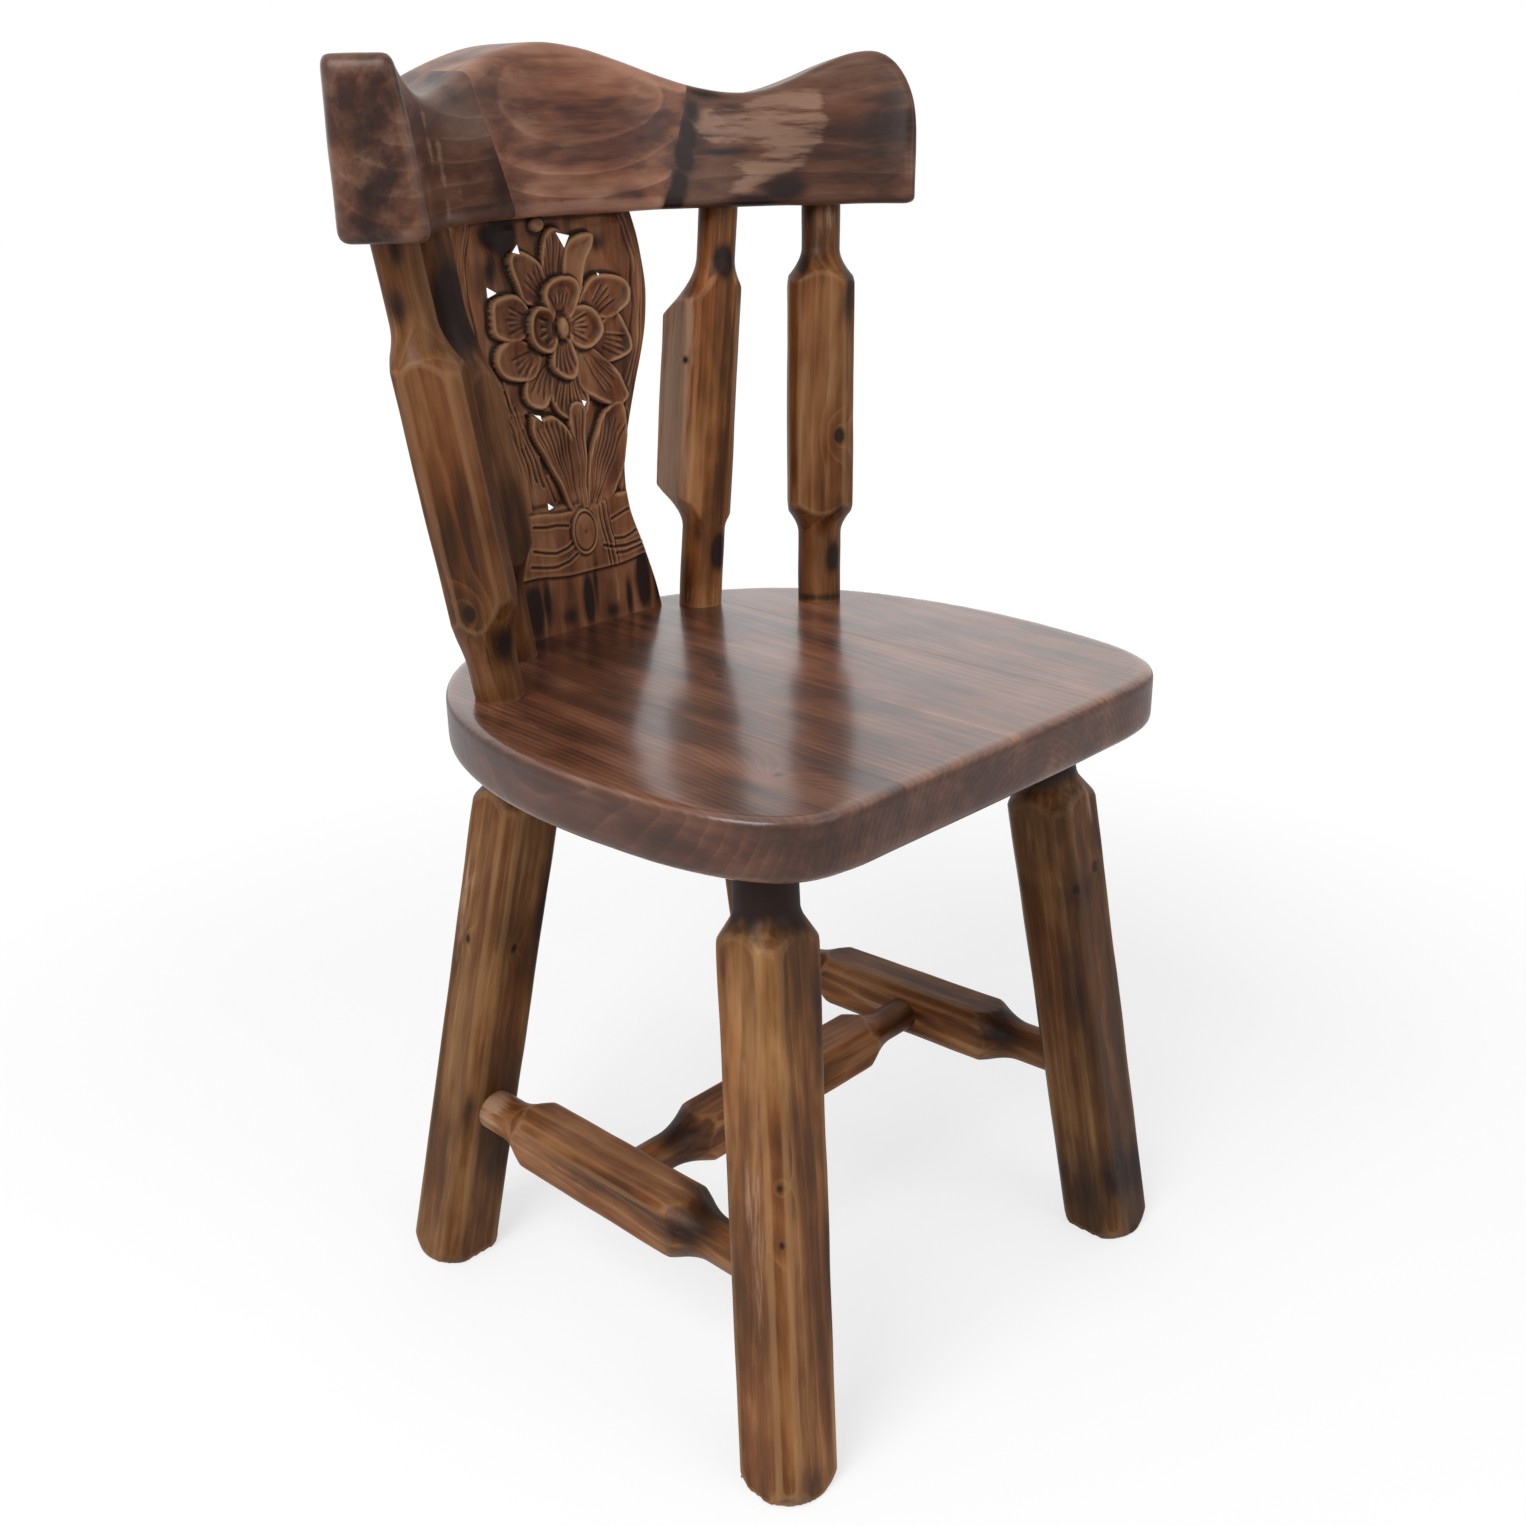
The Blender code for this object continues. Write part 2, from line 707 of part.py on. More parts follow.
outer_spindle_top_distance = crest_width / 2 - outer_spindle_top_from_crest_end
inner_spindle_top_distance = crest_joint_foot_distance + inner_spindle_top_from_joint
spindles = {}
for side_name, side in (("right", -1), ("left", 1)):
    spindles["outer_" + side_name] = (
        spindle_axis(side, outer_spindle_foot_spacing, outer_spindle_foot_from_back, outer_spindle_top_distance),
        -side * outer_spindle_turn)
    spindles["inner_" + side_name] = (
        spindle_axis(side, inner_spindle_foot_spacing, inner_spindle_foot_from_back, inner_spindle_top_distance),
        -side * inner_spindle_turn)
spindles["inner_right"] = (
    spindle_axis(
        -1, inner_right_foot_spacing, inner_spindle_foot_from_back,
        crest_joint_foot_distance + inner_right_top_from_joint),
    inner_spindle_turn)

# Foot neck, foot shoulder, top neck and top shoulder of each spindle, how far its bar sits back
# and to the left of its necks, and its width
spindle_shapes = {
    "outer_right": (
        outer_right_foot_neck, outer_right_foot_shoulder, outer_right_top_neck, outer_right_top_shoulder,
        -outer_right_set_forward, 0, outer_right_width),
    "inner_right": (
        inner_right_foot_neck, inner_right_foot_shoulder, inner_right_top_neck, inner_right_top_shoulder,
        inner_right_set_back, 0, inner_right_width),
    "inner_left": (
        inner_foot_neck, inner_foot_shoulder, inner_top_neck, inner_top_shoulder,
        inner_left_set_back, -inner_left_set_aside, inner_left_width),
    "outer_left": (
        outer_left_foot_neck, outer_left_foot_shoulder, outer_left_top_neck, outer_left_top_shoulder,
        outer_left_set_back, 0, outer_left_width),
}


def build_spindle(name):
    """Faceted spindle with a round neck and tenon at both ends."""
    (foot, top), turn = spindles[name]
    length = (top - foot).length
    low_neck, low_shoulder, high_neck, high_shoulder, set_back, set_left, width = spindle_shapes[name]
    full = width * turned_reach_share + max(abs(set_back), abs(set_left))
    profile = [(spindle_foot_neck_diameter / 2, -spindle_foot_tenon_depth)]
    profile += hollow_shoulder(spindle_foot_neck_diameter / 2, full, low_neck, low_neck + low_shoulder, 4)
    profile += list(reversed(hollow_shoulder(
        spindle_top_neck_diameter / 2, full, length - high_neck, length - high_neck - high_shoulder, 4)))
    profile.append((spindle_top_neck_diameter / 2, length + spindle_top_tenon_depth))
    facing = Matrix.Rotation(turn, 3, "Z") @ Vector((1, 0, 0))
    return turned_bar(
        "spindle_" + name, foot, top, facing, width, spindle_corner, profile, Vector((set_left, set_back, 0)))


def drill_spindle_foot(board, name):
    """The hole in the seat for a spindle's lower tenon."""
    (foot, top), turn = spindles[name]
    along = (top - foot).normalized()
    bottom = foot - along * (spindle_foot_tenon_depth + fit_gap)
    drill(board, spindle_foot_neck_diameter + 2 * fit_gap, bottom, foot + along * overrun)


def drill_spindle_top(block, name):
    """The hole in the crest's underside for a spindle's upper tenon."""
    (foot, top), turn = spindles[name]
    along = (top - foot).normalized()
    bottom = top + along * (spindle_top_tenon_depth + fit_gap)
    drill(block, spindle_top_neck_diameter + 2 * fit_gap, top - along * overrun, bottom)


# The splat's own frame: local X across, local Y backwards, local Z up along the splat
splat_foot = Vector((-splat_off_centre, seat_back - splat_foot_from_back, seat_height))
splat_top = Vector((
    -splat_off_centre, crest_inner_y + crest_middle_thickness * splat_top_inside_crest_share, crest_bottom_height))
splat_length = (splat_top - splat_foot).length
splat_placement = axis_placement(splat_foot, splat_top, Vector((1, 0, 0)))
splat_front = -splat_ground_thickness / 2
carving_across = splat_width * carving_off_centre_share
flower_up = splat_length * flower_height_share
belt_bottom = splat_length * belt_bottom_share
belt_top = splat_length * belt_top_share


def splat_half_width(height):
    """Half of the splat's width at a height along it."""
    share = min(max(height / splat_length, 0), 1)
    for (low, narrow), (high, wide) in zip(splat_outline_shares, splat_outline_shares[1:]):
        if share <= high:
            break
    run = (share - low) / (high - low)
    return (narrow + (wide - narrow) * run) * splat_width / 2


def extruded_outline(name, outline, front, back, edge):
    """A board in the splat's frame from an (x, z) outline, with chamfered edges where edge isn't zero."""
    rings = []
    for inset, depth in ((edge, front), (0, front + edge), (0, back - edge), (edge, back)):
        ring = inset_outline(outline, inset)
        rings.append([Vector((x, depth, z)) for x, z in ring])
    return body_from_rings(name, rings, splat_placement)


def splat_band(name, low, high, side_inset, front, back, edge, steps):
    """The part of the splat's outline between two heights, as a board."""
    right = []
    for step in range(steps + 1):
        height = low + (high - low) * step / steps
        right.append((splat_half_width(height) - side_inset, height))
    left = [(-x, z) for x, z in reversed(right)]
    return extruded_outline(name, right + left, front, back, edge)


def raised_form(outline, rise_shares, relief, across, up, seat_depth):
    """A carved form on the splat's front face: its outline drawn in as it rises, its foot let into the board."""
    rings = [[Vector((x, seat_depth, z)) for x, z in outline]]
    for inward, rise in rise_shares:
        rings.append([Vector((x * inward, -relief * rise, z * inward)) for x, z in outline])
    place = Matrix.Translation(Vector((across, splat_front, up)))
    return body_from_rings("form", rings, splat_placement @ place)


def lobed_outline(lobe_shares, length, half_turn, core, bearings):
    """A star-shaped outline: a round core with a blunt lobe at each listed bearing."""
    outline = []
    for bearing in bearings:
        radius = core
        for degrees, share in lobe_shares:
            swing = math.remainder(bearing - math.radians(degrees), 2 * math.pi) / half_turn
            if abs(swing) < 1:
                radius = max(radius, length * share * math.sqrt(math.cos(math.pi / 2 * swing)))
        outline.append((radius * math.sin(bearing), radius * math.cos(bearing)))
    return outline


def carve_flower(splat):
    """Eight petals behind, four in front and a round boss."""
    back_length = splat_width * flower_back_petal_share
    bearings = [math.radians(360 * step / 64) for step in range(64)]
    back = lobed_outline(
        flower_back_petal_shares, back_length, flower_back_petal_turn, back_length * flower_core_share, bearings)
    combine(splat, raised_form(
        back, carving_rise_shares, flower_back_relief, carving_across, flower_up, splat_ground_thickness / 3), "UNION")
    front_length = splat_width * flower_front_petal_share
    bearings = [math.radians(360 * step / 40) for step in range(40)]
    front = lobed_outline(
        flower_front_petal_shares, front_length, flower_front_petal_turn, front_length * flower_core_share, bearings)
    combine(splat, raised_form(
        front, carving_rise_shares, flower_front_relief, carving_across, flower_up, splat_ground_thickness / 4), "UNION")
    boss = [(point.x, point.y) for point in circle(splat_width * flower_boss_share / 2, 0, 12)]
    combine(splat, raised_form(
        boss, carving_rise_shares, flower_boss_relief, carving_across, flower_up, splat_ground_thickness / 5), "UNION")


def carve_leaves(splat):
    """Five leaves that fan up out of the belt."""
    bearings = [math.radians(-45 + 90 * step / 36) for step in range(37)]
    bearings += [math.radians(45 + 270 * step / 8) for step in range(1, 8)]
    fan = lobed_outline(
        leaf_shares, splat_length * leaf_length_share, leaf_turn, splat_width * leaf_gather_width_share / 2, bearings)
    combine(splat, raised_form(
        fan, carving_rise_shares, leaf_relief, carving_across / 2, splat_length * leaf_gather_height_share,
        splat_ground_thickness / 4), "UNION")


def carve_belt(splat):
    """A raised belt round the waist with an oval buckle."""
    inside = splat_front + splat_ground_thickness / 3
    belt = splat_band(
        "belt", belt_bottom, belt_top, belt_side_inset, splat_front - belt_relief, inside, belt_relief / 3, 5)
    combine(splat, belt, "UNION")
    half_width = splat_width * buckle_width_share / 2
    half_height = (belt_top - belt_bottom) * buckle_height_share / 2
    oval = [(point.x * half_width, point.y * half_height) for point in circle(1, 0, 20)]
    combine(splat, raised_form(
        oval, buckle_rise_shares, buckle_relief, carving_across, (belt_bottom + belt_top) / 2,
        splat_ground_thickness / 4), "UNION")


def pierce(splat):
    """The small openings that go right through between the petals."""
    for across_share, up_share, size_share in pierced_hole_shares:
        across = across_share * splat_width / 2
        up = up_share * splat_length
        ring_front = []
        ring_back = []
        for point in circle(size_share / 2, 0, 6):
            x = across + point.x * pierced_hole_width
            z = up + point.y * pierced_hole_height
            ring_front.append(Vector((x, -splat_ground_thickness / 2 - overrun, z)))
            ring_back.append(Vector((x, splat_ground_thickness / 2 + overrun, z)))
        cutter = body_from_rings("piercing", [ring_front, ring_back], splat_placement)
        combine(splat, cutter, "DIFFERENCE")


def splat_tongue(name, clearance):
    """The board that runs through the splat and forms both of its tenons, grown by a clearance."""
    across = splat_tenon_width / 2 + clearance
    deep = splat_tenon_thickness / 2 + clearance
    low = -splat_foot_tenon_depth - clearance
    high = splat_length + splat_top_tenon_depth + clearance
    rings = []
    for height in (low, high):
        corners = ((across, -deep), (across, deep), (-across, deep), (-across, -deep))
        rings.append([Vector((x, y, height)) for x, y in corners])
    return body_from_rings(name, rings, splat_placement)


def build_splat():
    """Pierced and carved board with a tenon at both ends."""
    splat = splat_band(
        "splat", -overrun, splat_length + overrun, 0, splat_front, -splat_front, splat_edge_round, 30)
    saw(splat, Vector((0, 0, seat_height + fit_gap)), Vector((0, 0, -1)))
    saw(splat, Vector((0, 0, crest_bottom_height - fit_gap)), Vector((0, 0, 1)))
    combine(splat, splat_tongue("tongue", 0), "UNION")
    carve_leaves(splat)
    carve_flower(splat)
    carve_belt(splat)
    pierce(splat)
    return splat


# Legs, drilled for the side stretchers
legs = {leg: build_leg(leg) for leg in leg_axes}
for side_name in ("right", "left"):
    back_point, front_point = side_axes[side_name]
    drill_stretcher_socket(legs["back_" + side_name], back_point, front_point)
    drill_stretcher_socket(legs["front_" + side_name], front_point, back_point)

# Stretchers, the side ones drilled for the cross one
side_stretchers = {side_name: build_side_stretcher(side_name) for side_name in ("right", "left")}
cross_right, cross_left = cross_axis()
drill_cross_socket(side_stretchers["right"], cross_right, cross_left)
drill_cross_socket(side_stretchers["left"], cross_left, cross_right)
cross_stretcher = build_cross_stretcher()

# Seat, sawn into the four boards that it is glued from
panel = rounded_slab("seat", seat_outline(), seat_underside, seat_height, seat_bottom_round, seat_top_round)
board_edges = {
    "outer_right": (None, -seat_board_width),
    "inner_right": (-seat_board_width, 0),
    "inner_left": (0, seat_board_width),
    "outer_left": (seat_board_width, None),
}
boards = {}
for board_name, (low_edge, high_edge) in board_edges.items():
    board = copy_of(panel, "seat_board_" + board_name)
    if low_edge is not None:
        saw(board, Vector((low_edge + fit_gap / 2, 0, 0)), Vector((-1, 0, 0)))
    if high_edge is not None:
        saw(board, Vector((high_edge - fit_gap / 2, 0, 0)), Vector((1, 0, 0)))
    boards[board_name] = board
bpy.data.objects.remove(panel, do_unlink=True)


def boards_reached(point, reach):
    """The seat boards that a hole of the given radius about a point can touch."""
    touched = []
    for board_name, (low_edge, high_edge) in board_edges.items():
        below = low_edge is not None and point.x + reach < low_edge
        above = high_edge is not None and point.x - reach > high_edge
        if not below and not above:
            touched.append(boards[board_name])
    return touched


for leg, (foot, top) in leg_axes.items():
    for board in boards_reached(top, leg_tenon_diameter):
        drill_leg_socket(board, leg)
for name, ((foot, top), turn) in spindles.items():
    for board in boards_reached(foot, spindle_foot_neck_diameter):
        drill_spindle_foot(board, name)
for board in boards_reached(splat_foot, splat_tenon_width):
    combine(board, splat_tongue("mortise", fit_gap), "DIFFERENCE")

# Crest rail, sawn into its three blocks, then drilled for dowels and spindles
rail = build_crest()
blocks = {"right": copy_of(rail, "crest_block_right"), "centre": copy_of(rail, "crest_block_centre")}
blocks["left"] = rail
rail.name = "crest_block_left"
dowels = []
for side_name, side in (("right", -1), ("left", 1)):
    middle, away, slope = crest_joint(side)
    saw(blocks["centre"], middle - away * (fit_gap / 2), away)
    saw(blocks[side_name], middle + away * (fit_gap / 2), -away)
for side_name, side in (("right", -1), ("left", 1)):
    points, away = crest_dowel_axes(side)
    for place_name, point in zip(("low", "high"), points):
        reach = crest_dowel_length / 2
        hole = crest_dowel_diameter + 2 * fit_gap
        drill(blocks["centre"], hole, point - away * (reach + fit_gap), point + away * overrun)
        drill(blocks[side_name], hole, point - away * overrun, point + away * (reach + fit_gap))
        placement = axis_placement(point - away * reach, point + away * reach, Vector((0, 0, 1)))
        dowel = turned(
            "crest_dowel_" + side_name + "_" + place_name,
            [(crest_dowel_diameter / 2, 0), (crest_dowel_diameter / 2, crest_dowel_length)], 16, placement)
        dowels.append(dowel)
    drill_spindle_top(blocks[side_name], "outer_" + side_name)
    drill_spindle_top(blocks[side_name], "inner_" + side_name)
combine(blocks["centre"], splat_tongue("mortise", fit_gap), "DIFFERENCE")

# Spindles and splat
spindle_bodies = {name: build_spindle(name) for name in spindles}
splat = build_splat()

# Materials
leg_colours = {"front_right": (0.30, 0.17, 0.085), "front_left": (0.24, 0.125, 0.065)}
leg_colours.update({"back_right": (0.29, 0.165, 0.085), "back_left": (0.27, 0.15, 0.08)})
for leg, body in legs.items():
    finish(body, wood("wood_leg_" + leg, leg_colours[leg], 0.45))
for side_name, body in side_stretchers.items():
    finish(body, wood("wood_side_stretcher_" + side_name, (0.26, 0.145, 0.085), 0.42))
finish(cross_stretcher, wood("wood_cross_stretcher", (0.25, 0.13, 0.075), 0.42))
for board_name, body in boards.items():
    finish(body, wood("wood_seat_board_" + board_name, (0.235, 0.12, 0.075), 0.30))
for name, body in spindle_bodies.items():
    finish(body, wood("wood_spindle_" + name, (0.27, 0.145, 0.08), 0.42))
for side_name, body in blocks.items():
    finish(body, wood("wood_crest_block_" + side_name, (0.19, 0.10, 0.062), 0.34))
for body in dowels:
    finish(body, wood("wood_" + body.name, (0.45, 0.31, 0.19), 0.60))
finish(splat, wood("wood_splat", (0.225, 0.115, 0.062), 0.42))

# The origin moves to the middle of the chair's outer box, on the floor
bpy.context.view_layer.update()
corners = [body.matrix_world @ vertex.co for body in pieces for vertex in body.data.vertices]
middle_x = (min(point.x for point in corners) + max(point.x for point in corners)) / 2
middle_y = (min(point.y for point in corners) + max(point.y for point in corners)) / 2
chair = bpy.data.objects.new("chair", None)
bpy.context.scene.collection.objects.link(chair)
for body in pieces:
    body.parent = chair
chair.location = (-middle_x, -middle_y, 0)
bpy.context.view_layer.update()
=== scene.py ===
"""The carved wooden dining chair as it looks finished: stained, scorched and varnished softwood."""

import math

import bmesh
import bpy
import numpy as np
from mathutils import Matrix, Vector


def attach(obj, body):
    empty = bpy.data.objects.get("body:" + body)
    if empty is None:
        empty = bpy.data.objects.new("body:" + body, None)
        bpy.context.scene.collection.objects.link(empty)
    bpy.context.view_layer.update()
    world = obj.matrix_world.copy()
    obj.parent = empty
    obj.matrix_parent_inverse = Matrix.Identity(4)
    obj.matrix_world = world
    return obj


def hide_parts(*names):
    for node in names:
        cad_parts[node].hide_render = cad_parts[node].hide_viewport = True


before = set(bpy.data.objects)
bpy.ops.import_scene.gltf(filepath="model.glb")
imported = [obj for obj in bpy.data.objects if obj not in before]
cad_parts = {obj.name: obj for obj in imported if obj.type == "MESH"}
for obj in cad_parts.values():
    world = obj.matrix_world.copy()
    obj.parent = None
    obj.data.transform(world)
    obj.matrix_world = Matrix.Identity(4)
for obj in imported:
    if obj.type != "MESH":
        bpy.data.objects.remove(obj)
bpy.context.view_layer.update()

# Sizes, in metres. The chair is laid out round the middle of its seat and then
# moved with everything else so that its outer box stands over the origin.
chair_shift = Vector((0.0000757, -0.0074576, 0))

seat_height = 0.460
seat_thickness = 0.041
seat_width = 0.440
seat_depth = 0.423
seat_top_round = 0.005
seat_bottom_round = 0.009
seat_board_width = 0.102
seat_underside = seat_height - seat_thickness
seat_front = -seat_depth / 2
seat_back = seat_depth / 2
seat_outline_shares = (
    (0, 0), (0.24, 0.001), (0.48, 0.003), (0.64, 0.006), (0.76, 0.018), (0.84, 0.045), (0.895, 0.085),
    (0.935, 0.135), (0.965, 0.2), (0.985, 0.28), (1, 0.4), (0.99, 0.5), (0.955, 0.61), (0.89, 0.715),
    (0.795, 0.805), (0.67, 0.878), (0.515, 0.935), (0.34, 0.972), (0.17, 0.993), (0, 1),
)

leg_width = 0.0525
leg_corner = 0.0088
leg_neck_diameter = 0.041
leg_neck_length = 0.046
leg_shoulder_length = 0.019
leg_shoulder_reach_share = 0.62
leg_foot_round = 0.003
# A leg's worn foot: half width as a share of the leg's width, height
leg_foot_profile = ((0.47, -0.006), (0.55, 0.002), (0.60, 0.008), (0.64, 0.020), (1.00, 0.060))
leg_feet_and_tops = {
    "front": ((0.366, seat_front + 0.023), (0.280, seat_front + 0.078)),
    "back": ((0.374, seat_back - 0.046), (0.205, seat_back - 0.076)),
}

stretcher_corner = 0.006
side_stretcher_width = 0.042
side_stretcher_neck_diameter = 0.030
side_stretcher_height_at_back = 0.124
side_stretcher_height_at_front = 0.1385
side_stretcher_back_neck = 0.050
side_stretcher_front_neck = 0.058
side_stretcher_shoulder = 0.040
cross_stretcher_width = 0.039
cross_stretcher_neck_diameter = 0.026
cross_stretcher_neck = 0.048
cross_stretcher_shoulder = 0.042
socket_depth_shown = 0.006
cross_socket_depth_shown = 0.004
cross_stretcher_place_share = 0.51
turned_reach_share = 0.74
shoulder_hollow_power = 1.7

spindle_corner = 0.007
spindle_top_neck_diameter = 0.029
spindle_foot_neck_diameter = 0.033
spindle_sunk = 0.003

crest_bottom_height = seat_height + 0.294
crest_hollow_depth = 0.1199
crest_middle_thickness = 0.064
crest_end_thickness = 0.051
crest_width = 0.4246
crest_front_lean = 0.014
crest_lean_power = 1.5
crest_edge_round = 0.006
crest_blank_height = 0.094
crest_end_skew_share = 0.19
crest_right_end_drop = 0.003
crest_hump_off_centre = 0.013
crest_hump_height = 0.110
crest_dip_height = 0.0775
crest_left_ear_height = 0.104
crest_right_ear_height = 0.099
crest_ear_drop = 0.054
crest_dip_place_share = 0.55
crest_ear_place_share = 0.875
crest_joint_foot_distance = 0.067
crest_joint_top_distance = 0.0905
crest_joint_top_height = 0.087
crest_inner_y = seat_back - 0.046
crest_inner_radius = (crest_hollow_depth ** 2 + (crest_width / 2) ** 2) / (2 * crest_hollow_depth)
crest_centre_y = crest_inner_y - crest_inner_radius
crest_half_length = crest_inner_radius * math.atan2(crest_width / 2, crest_inner_radius - crest_hollow_depth)

splat_thickness = 0.016
splat_width = 0.174
splat_off_centre = 0.009
splat_edge_round = 0.0034
splat_sunk = 0.0015
splat_foot = Vector((-splat_off_centre, seat_back - 0.031, seat_height))
splat_top = Vector((-splat_off_centre, crest_inner_y + crest_middle_thickness * 0.60, crest_bottom_height))
splat_length = (splat_top - splat_foot).length
splat_outline_shares = (
    (0, 0.846), (0.05, 0.814), (0.1, 0.769), (0.16, 0.706), (0.21, 0.647), (0.26, 0.592), (0.31, 0.565),
    (0.36, 0.565), (0.41, 0.588), (0.47, 0.647), (0.53, 0.719), (0.59, 0.796), (0.65, 0.878), (0.71, 0.946),
    (0.77, 0.986), (0.82, 1), (0.88, 0.982), (0.94, 0.95), (1, 0.891),
)

joint_gap = 0.00006

# Surface work: grain of the fine mesh, passes of sanding and how far hand scraping leaves the surface uneven
leg_grain = 0.0014
stretcher_grain = 0.0013
spindle_grain = 0.0012
seat_grain = 0.0024
crest_rough_grain = 0.0021
crest_grain = 0.0019
bar_passes = 2
seat_passes = 2
crest_passes = 3
leg_unevenness = 0.0010
stretcher_unevenness = 0.0009
spindle_unevenness = 0.0010
seat_unevenness = 0.0009
crest_unevenness = 0.0013
bar_dent_size = 0.050
leg_dent_size = 0.055
seat_dent_size = 0.075
crest_dent_size = 0.050
sharpest_smooth_edge = math.radians(50)
overrun = 0.020


# Bench work: small helpers round Blender's own modelling tools
def clear_selection():
    """Leaves edit mode and deselects everything."""
    if bpy.context.object and bpy.context.object.mode != "OBJECT":
        bpy.ops.object.mode_set(mode="OBJECT")
    bpy.ops.object.select_all(action="DESELECT")


def take(piece):
    """Selects one piece alone."""
    clear_selection()
    piece.select_set(True)
    bpy.context.view_layer.objects.active = piece


def settle(piece):
    """Puts a piece's place, turn and scale into its mesh."""
    take(piece)
    bpy.ops.object.transform_apply(location=True, rotation=True, scale=True)


def open_whole(piece):
    """Opens a piece in edit mode with all of it selected."""
    take(piece)
    bpy.ops.object.mode_set(mode="EDIT")
    bpy.ops.mesh.select_all(action="SELECT")


def pick(piece, kind, test):
    """Opens a piece in edit mode with only the faces, edges or points that pass the test selected."""
    take(piece)
    bpy.ops.object.mode_set(mode="EDIT")
    bpy.ops.mesh.select_mode(type={"verts": "VERT", "edges": "EDGE", "faces": "FACE"}[kind])
    bpy.ops.mesh.select_all(action="DESELECT")
    mesh = bmesh.from_edit_mesh(piece.data)
    for item in getattr(mesh, kind):
        if test(item):
            item.select_set(True)
    bmesh.update_edit_mesh(piece.data)


def close_edit(piece):
    """Merges doubles, points the faces outwards and leaves edit mode."""
    bpy.ops.mesh.select_all(action="SELECT")
    bpy.ops.mesh.remove_doubles(threshold=0.00001)
    bpy.ops.mesh.normals_make_consistent(inside=False)
    bpy.ops.object.mode_set(mode="OBJECT")


def apply_modifier(piece, kind, **settings):
    """Adds one modifier with its settings and applies it."""
    take(piece)
    step = piece.modifiers.new(kind.lower(), kind)
    for name, value in settings.items():
        setattr(step, name, value)
    bpy.ops.object.modifier_apply(modifier=step.name)


def cut_with(piece, tool, operation, solver="EXACT"):
    """Keeps or cuts away what the tool shares with the piece, then discards the tool."""
    apply_modifier(piece, "BOOLEAN", operation=operation, solver=solver, object=tool)
    bpy.data.objects.remove(tool, do_unlink=True)


def saw(piece, point, waste_side):
    """Saws a piece at a plane, drops the waste side and closes the cut."""
    open_whole(piece)
    bpy.ops.mesh.bisect(plane_co=point, plane_no=waste_side, use_fill=True, clear_outer=True)
    close_edit(piece)
    take(piece)
    bpy.ops.object.shade_smooth_by_angle(angle=sharpest_smooth_edge)


def soften(piece, grain, passes):
    """Gives a piece an even fine mesh and eases its edges as sandpaper does."""
    apply_modifier(piece, "REMESH", mode="VOXEL", voxel_size=grain, use_smooth_shade=True)
    apply_modifier(piece, "SMOOTH", factor=0.5, iterations=passes)


def hand_finish(piece, depth, size, name):
    """Lets the surface wander a little, as hand scraping leaves it."""
    unevenness = bpy.data.textures.new(name, "CLOUDS")
    unevenness.noise_scale = size
    unevenness.noise_depth = 1
    apply_modifier(
        piece, "DISPLACE", texture=unevenness, strength=depth, mid_level=0.5, texture_coords="LOCAL")
    take(piece)
    bpy.ops.object.shade_smooth_by_angle(angle=sharpest_smooth_edge)


def copy_of(piece, name):
    """A separate copy of a piece with its own mesh."""
    take(piece)
    bpy.ops.object.duplicate(linked=False)
    made = bpy.context.object
    made.name = name
    return made


def along(start, end, side):
    """Placement that stands local Z on start, pointing at end, with local X as near to side as it can be."""
    upward = (end - start).normalized()
    forward = upward.cross(side).normalized()
    sideways = forward.cross(upward)
    return Matrix.Translation(start) @ Matrix((sideways, forward, upward)).transposed().to_4x4()


def mesh_points(piece):
    """A piece's points as an array of metres."""
    places = np.empty(len(piece.data.vertices) * 3)
    piece.data.vertices.foreach_get("co", places)
    return places.reshape(-1, 3)


def set_points(piece, places):
    """Moves a piece's points."""
    piece.data.vertices.foreach_set("co", places.ravel())
    piece.data.update()


def facings(piece):
    """The direction that each point of a piece faces."""
    facing = np.empty(len(piece.data.vertices) * 3)
    piece.data.vertex_normals.foreach_get("vector", facing)
    return facing.reshape(-1, 3)


def seen_from(placement, places):
    """Points in the frame of a placement."""
    turn = np.array(placement.inverted())
    return places @ turn[:3, :3].T + turn[:3, 3]


# Marks in the wood, kept on the points of each piece
def soft_spots(places, spots):
    """Strength at each point of a list of (middle, reach, strength) spots with soft edges."""
    strength = np.zeros(len(places))
    for centre, reach, most in spots:
        gap = (places - np.array(centre)) / np.array(reach)
        strength = np.maximum(strength, most * np.exp(-(gap ** 2).sum(axis=1)))
    return strength


def keep(piece, name, values):
    """Stores one value per point on a piece, for its material to read."""
    layer = piece.data.attributes.get(name) or piece.data.attributes.new(name, "FLOAT", "POINT")
    layer.data.foreach_set("value", np.asarray(values, dtype=np.float32))


def mark_wood(piece, places, scorched=(), pale=(), knots=(), swells=()):
    """Scorch marks, pale sapwood (on two spindles also a painted sheen), knots with the grain bent round them
    and swells in the growth rings.
    """
    places = places * 1000
    keep(piece, "scorched", soft_spots(places, scorched))
    keep(piece, "pale", soft_spots(places, pale))
    knot = np.zeros(len(places))
    swell = np.zeros(len(places))
    for centre, radius in knots:
        distance = np.linalg.norm((places - np.array(centre)) * (1, 1, 0.75), axis=1)
        knot = np.maximum(knot, np.exp(-(distance / radius) ** 2))
        swell += 2.2 * radius * np.exp(-(distance / (2.4 * radius)) ** 2)
    for centre, reach, amount in swells:
        gap = (places - np.array(centre)) / np.array(reach)
        swell += amount * np.exp(-(gap ** 2).sum(axis=1))
    keep(piece, "knot", knot)
    keep(piece, "swell", swell / 1000)


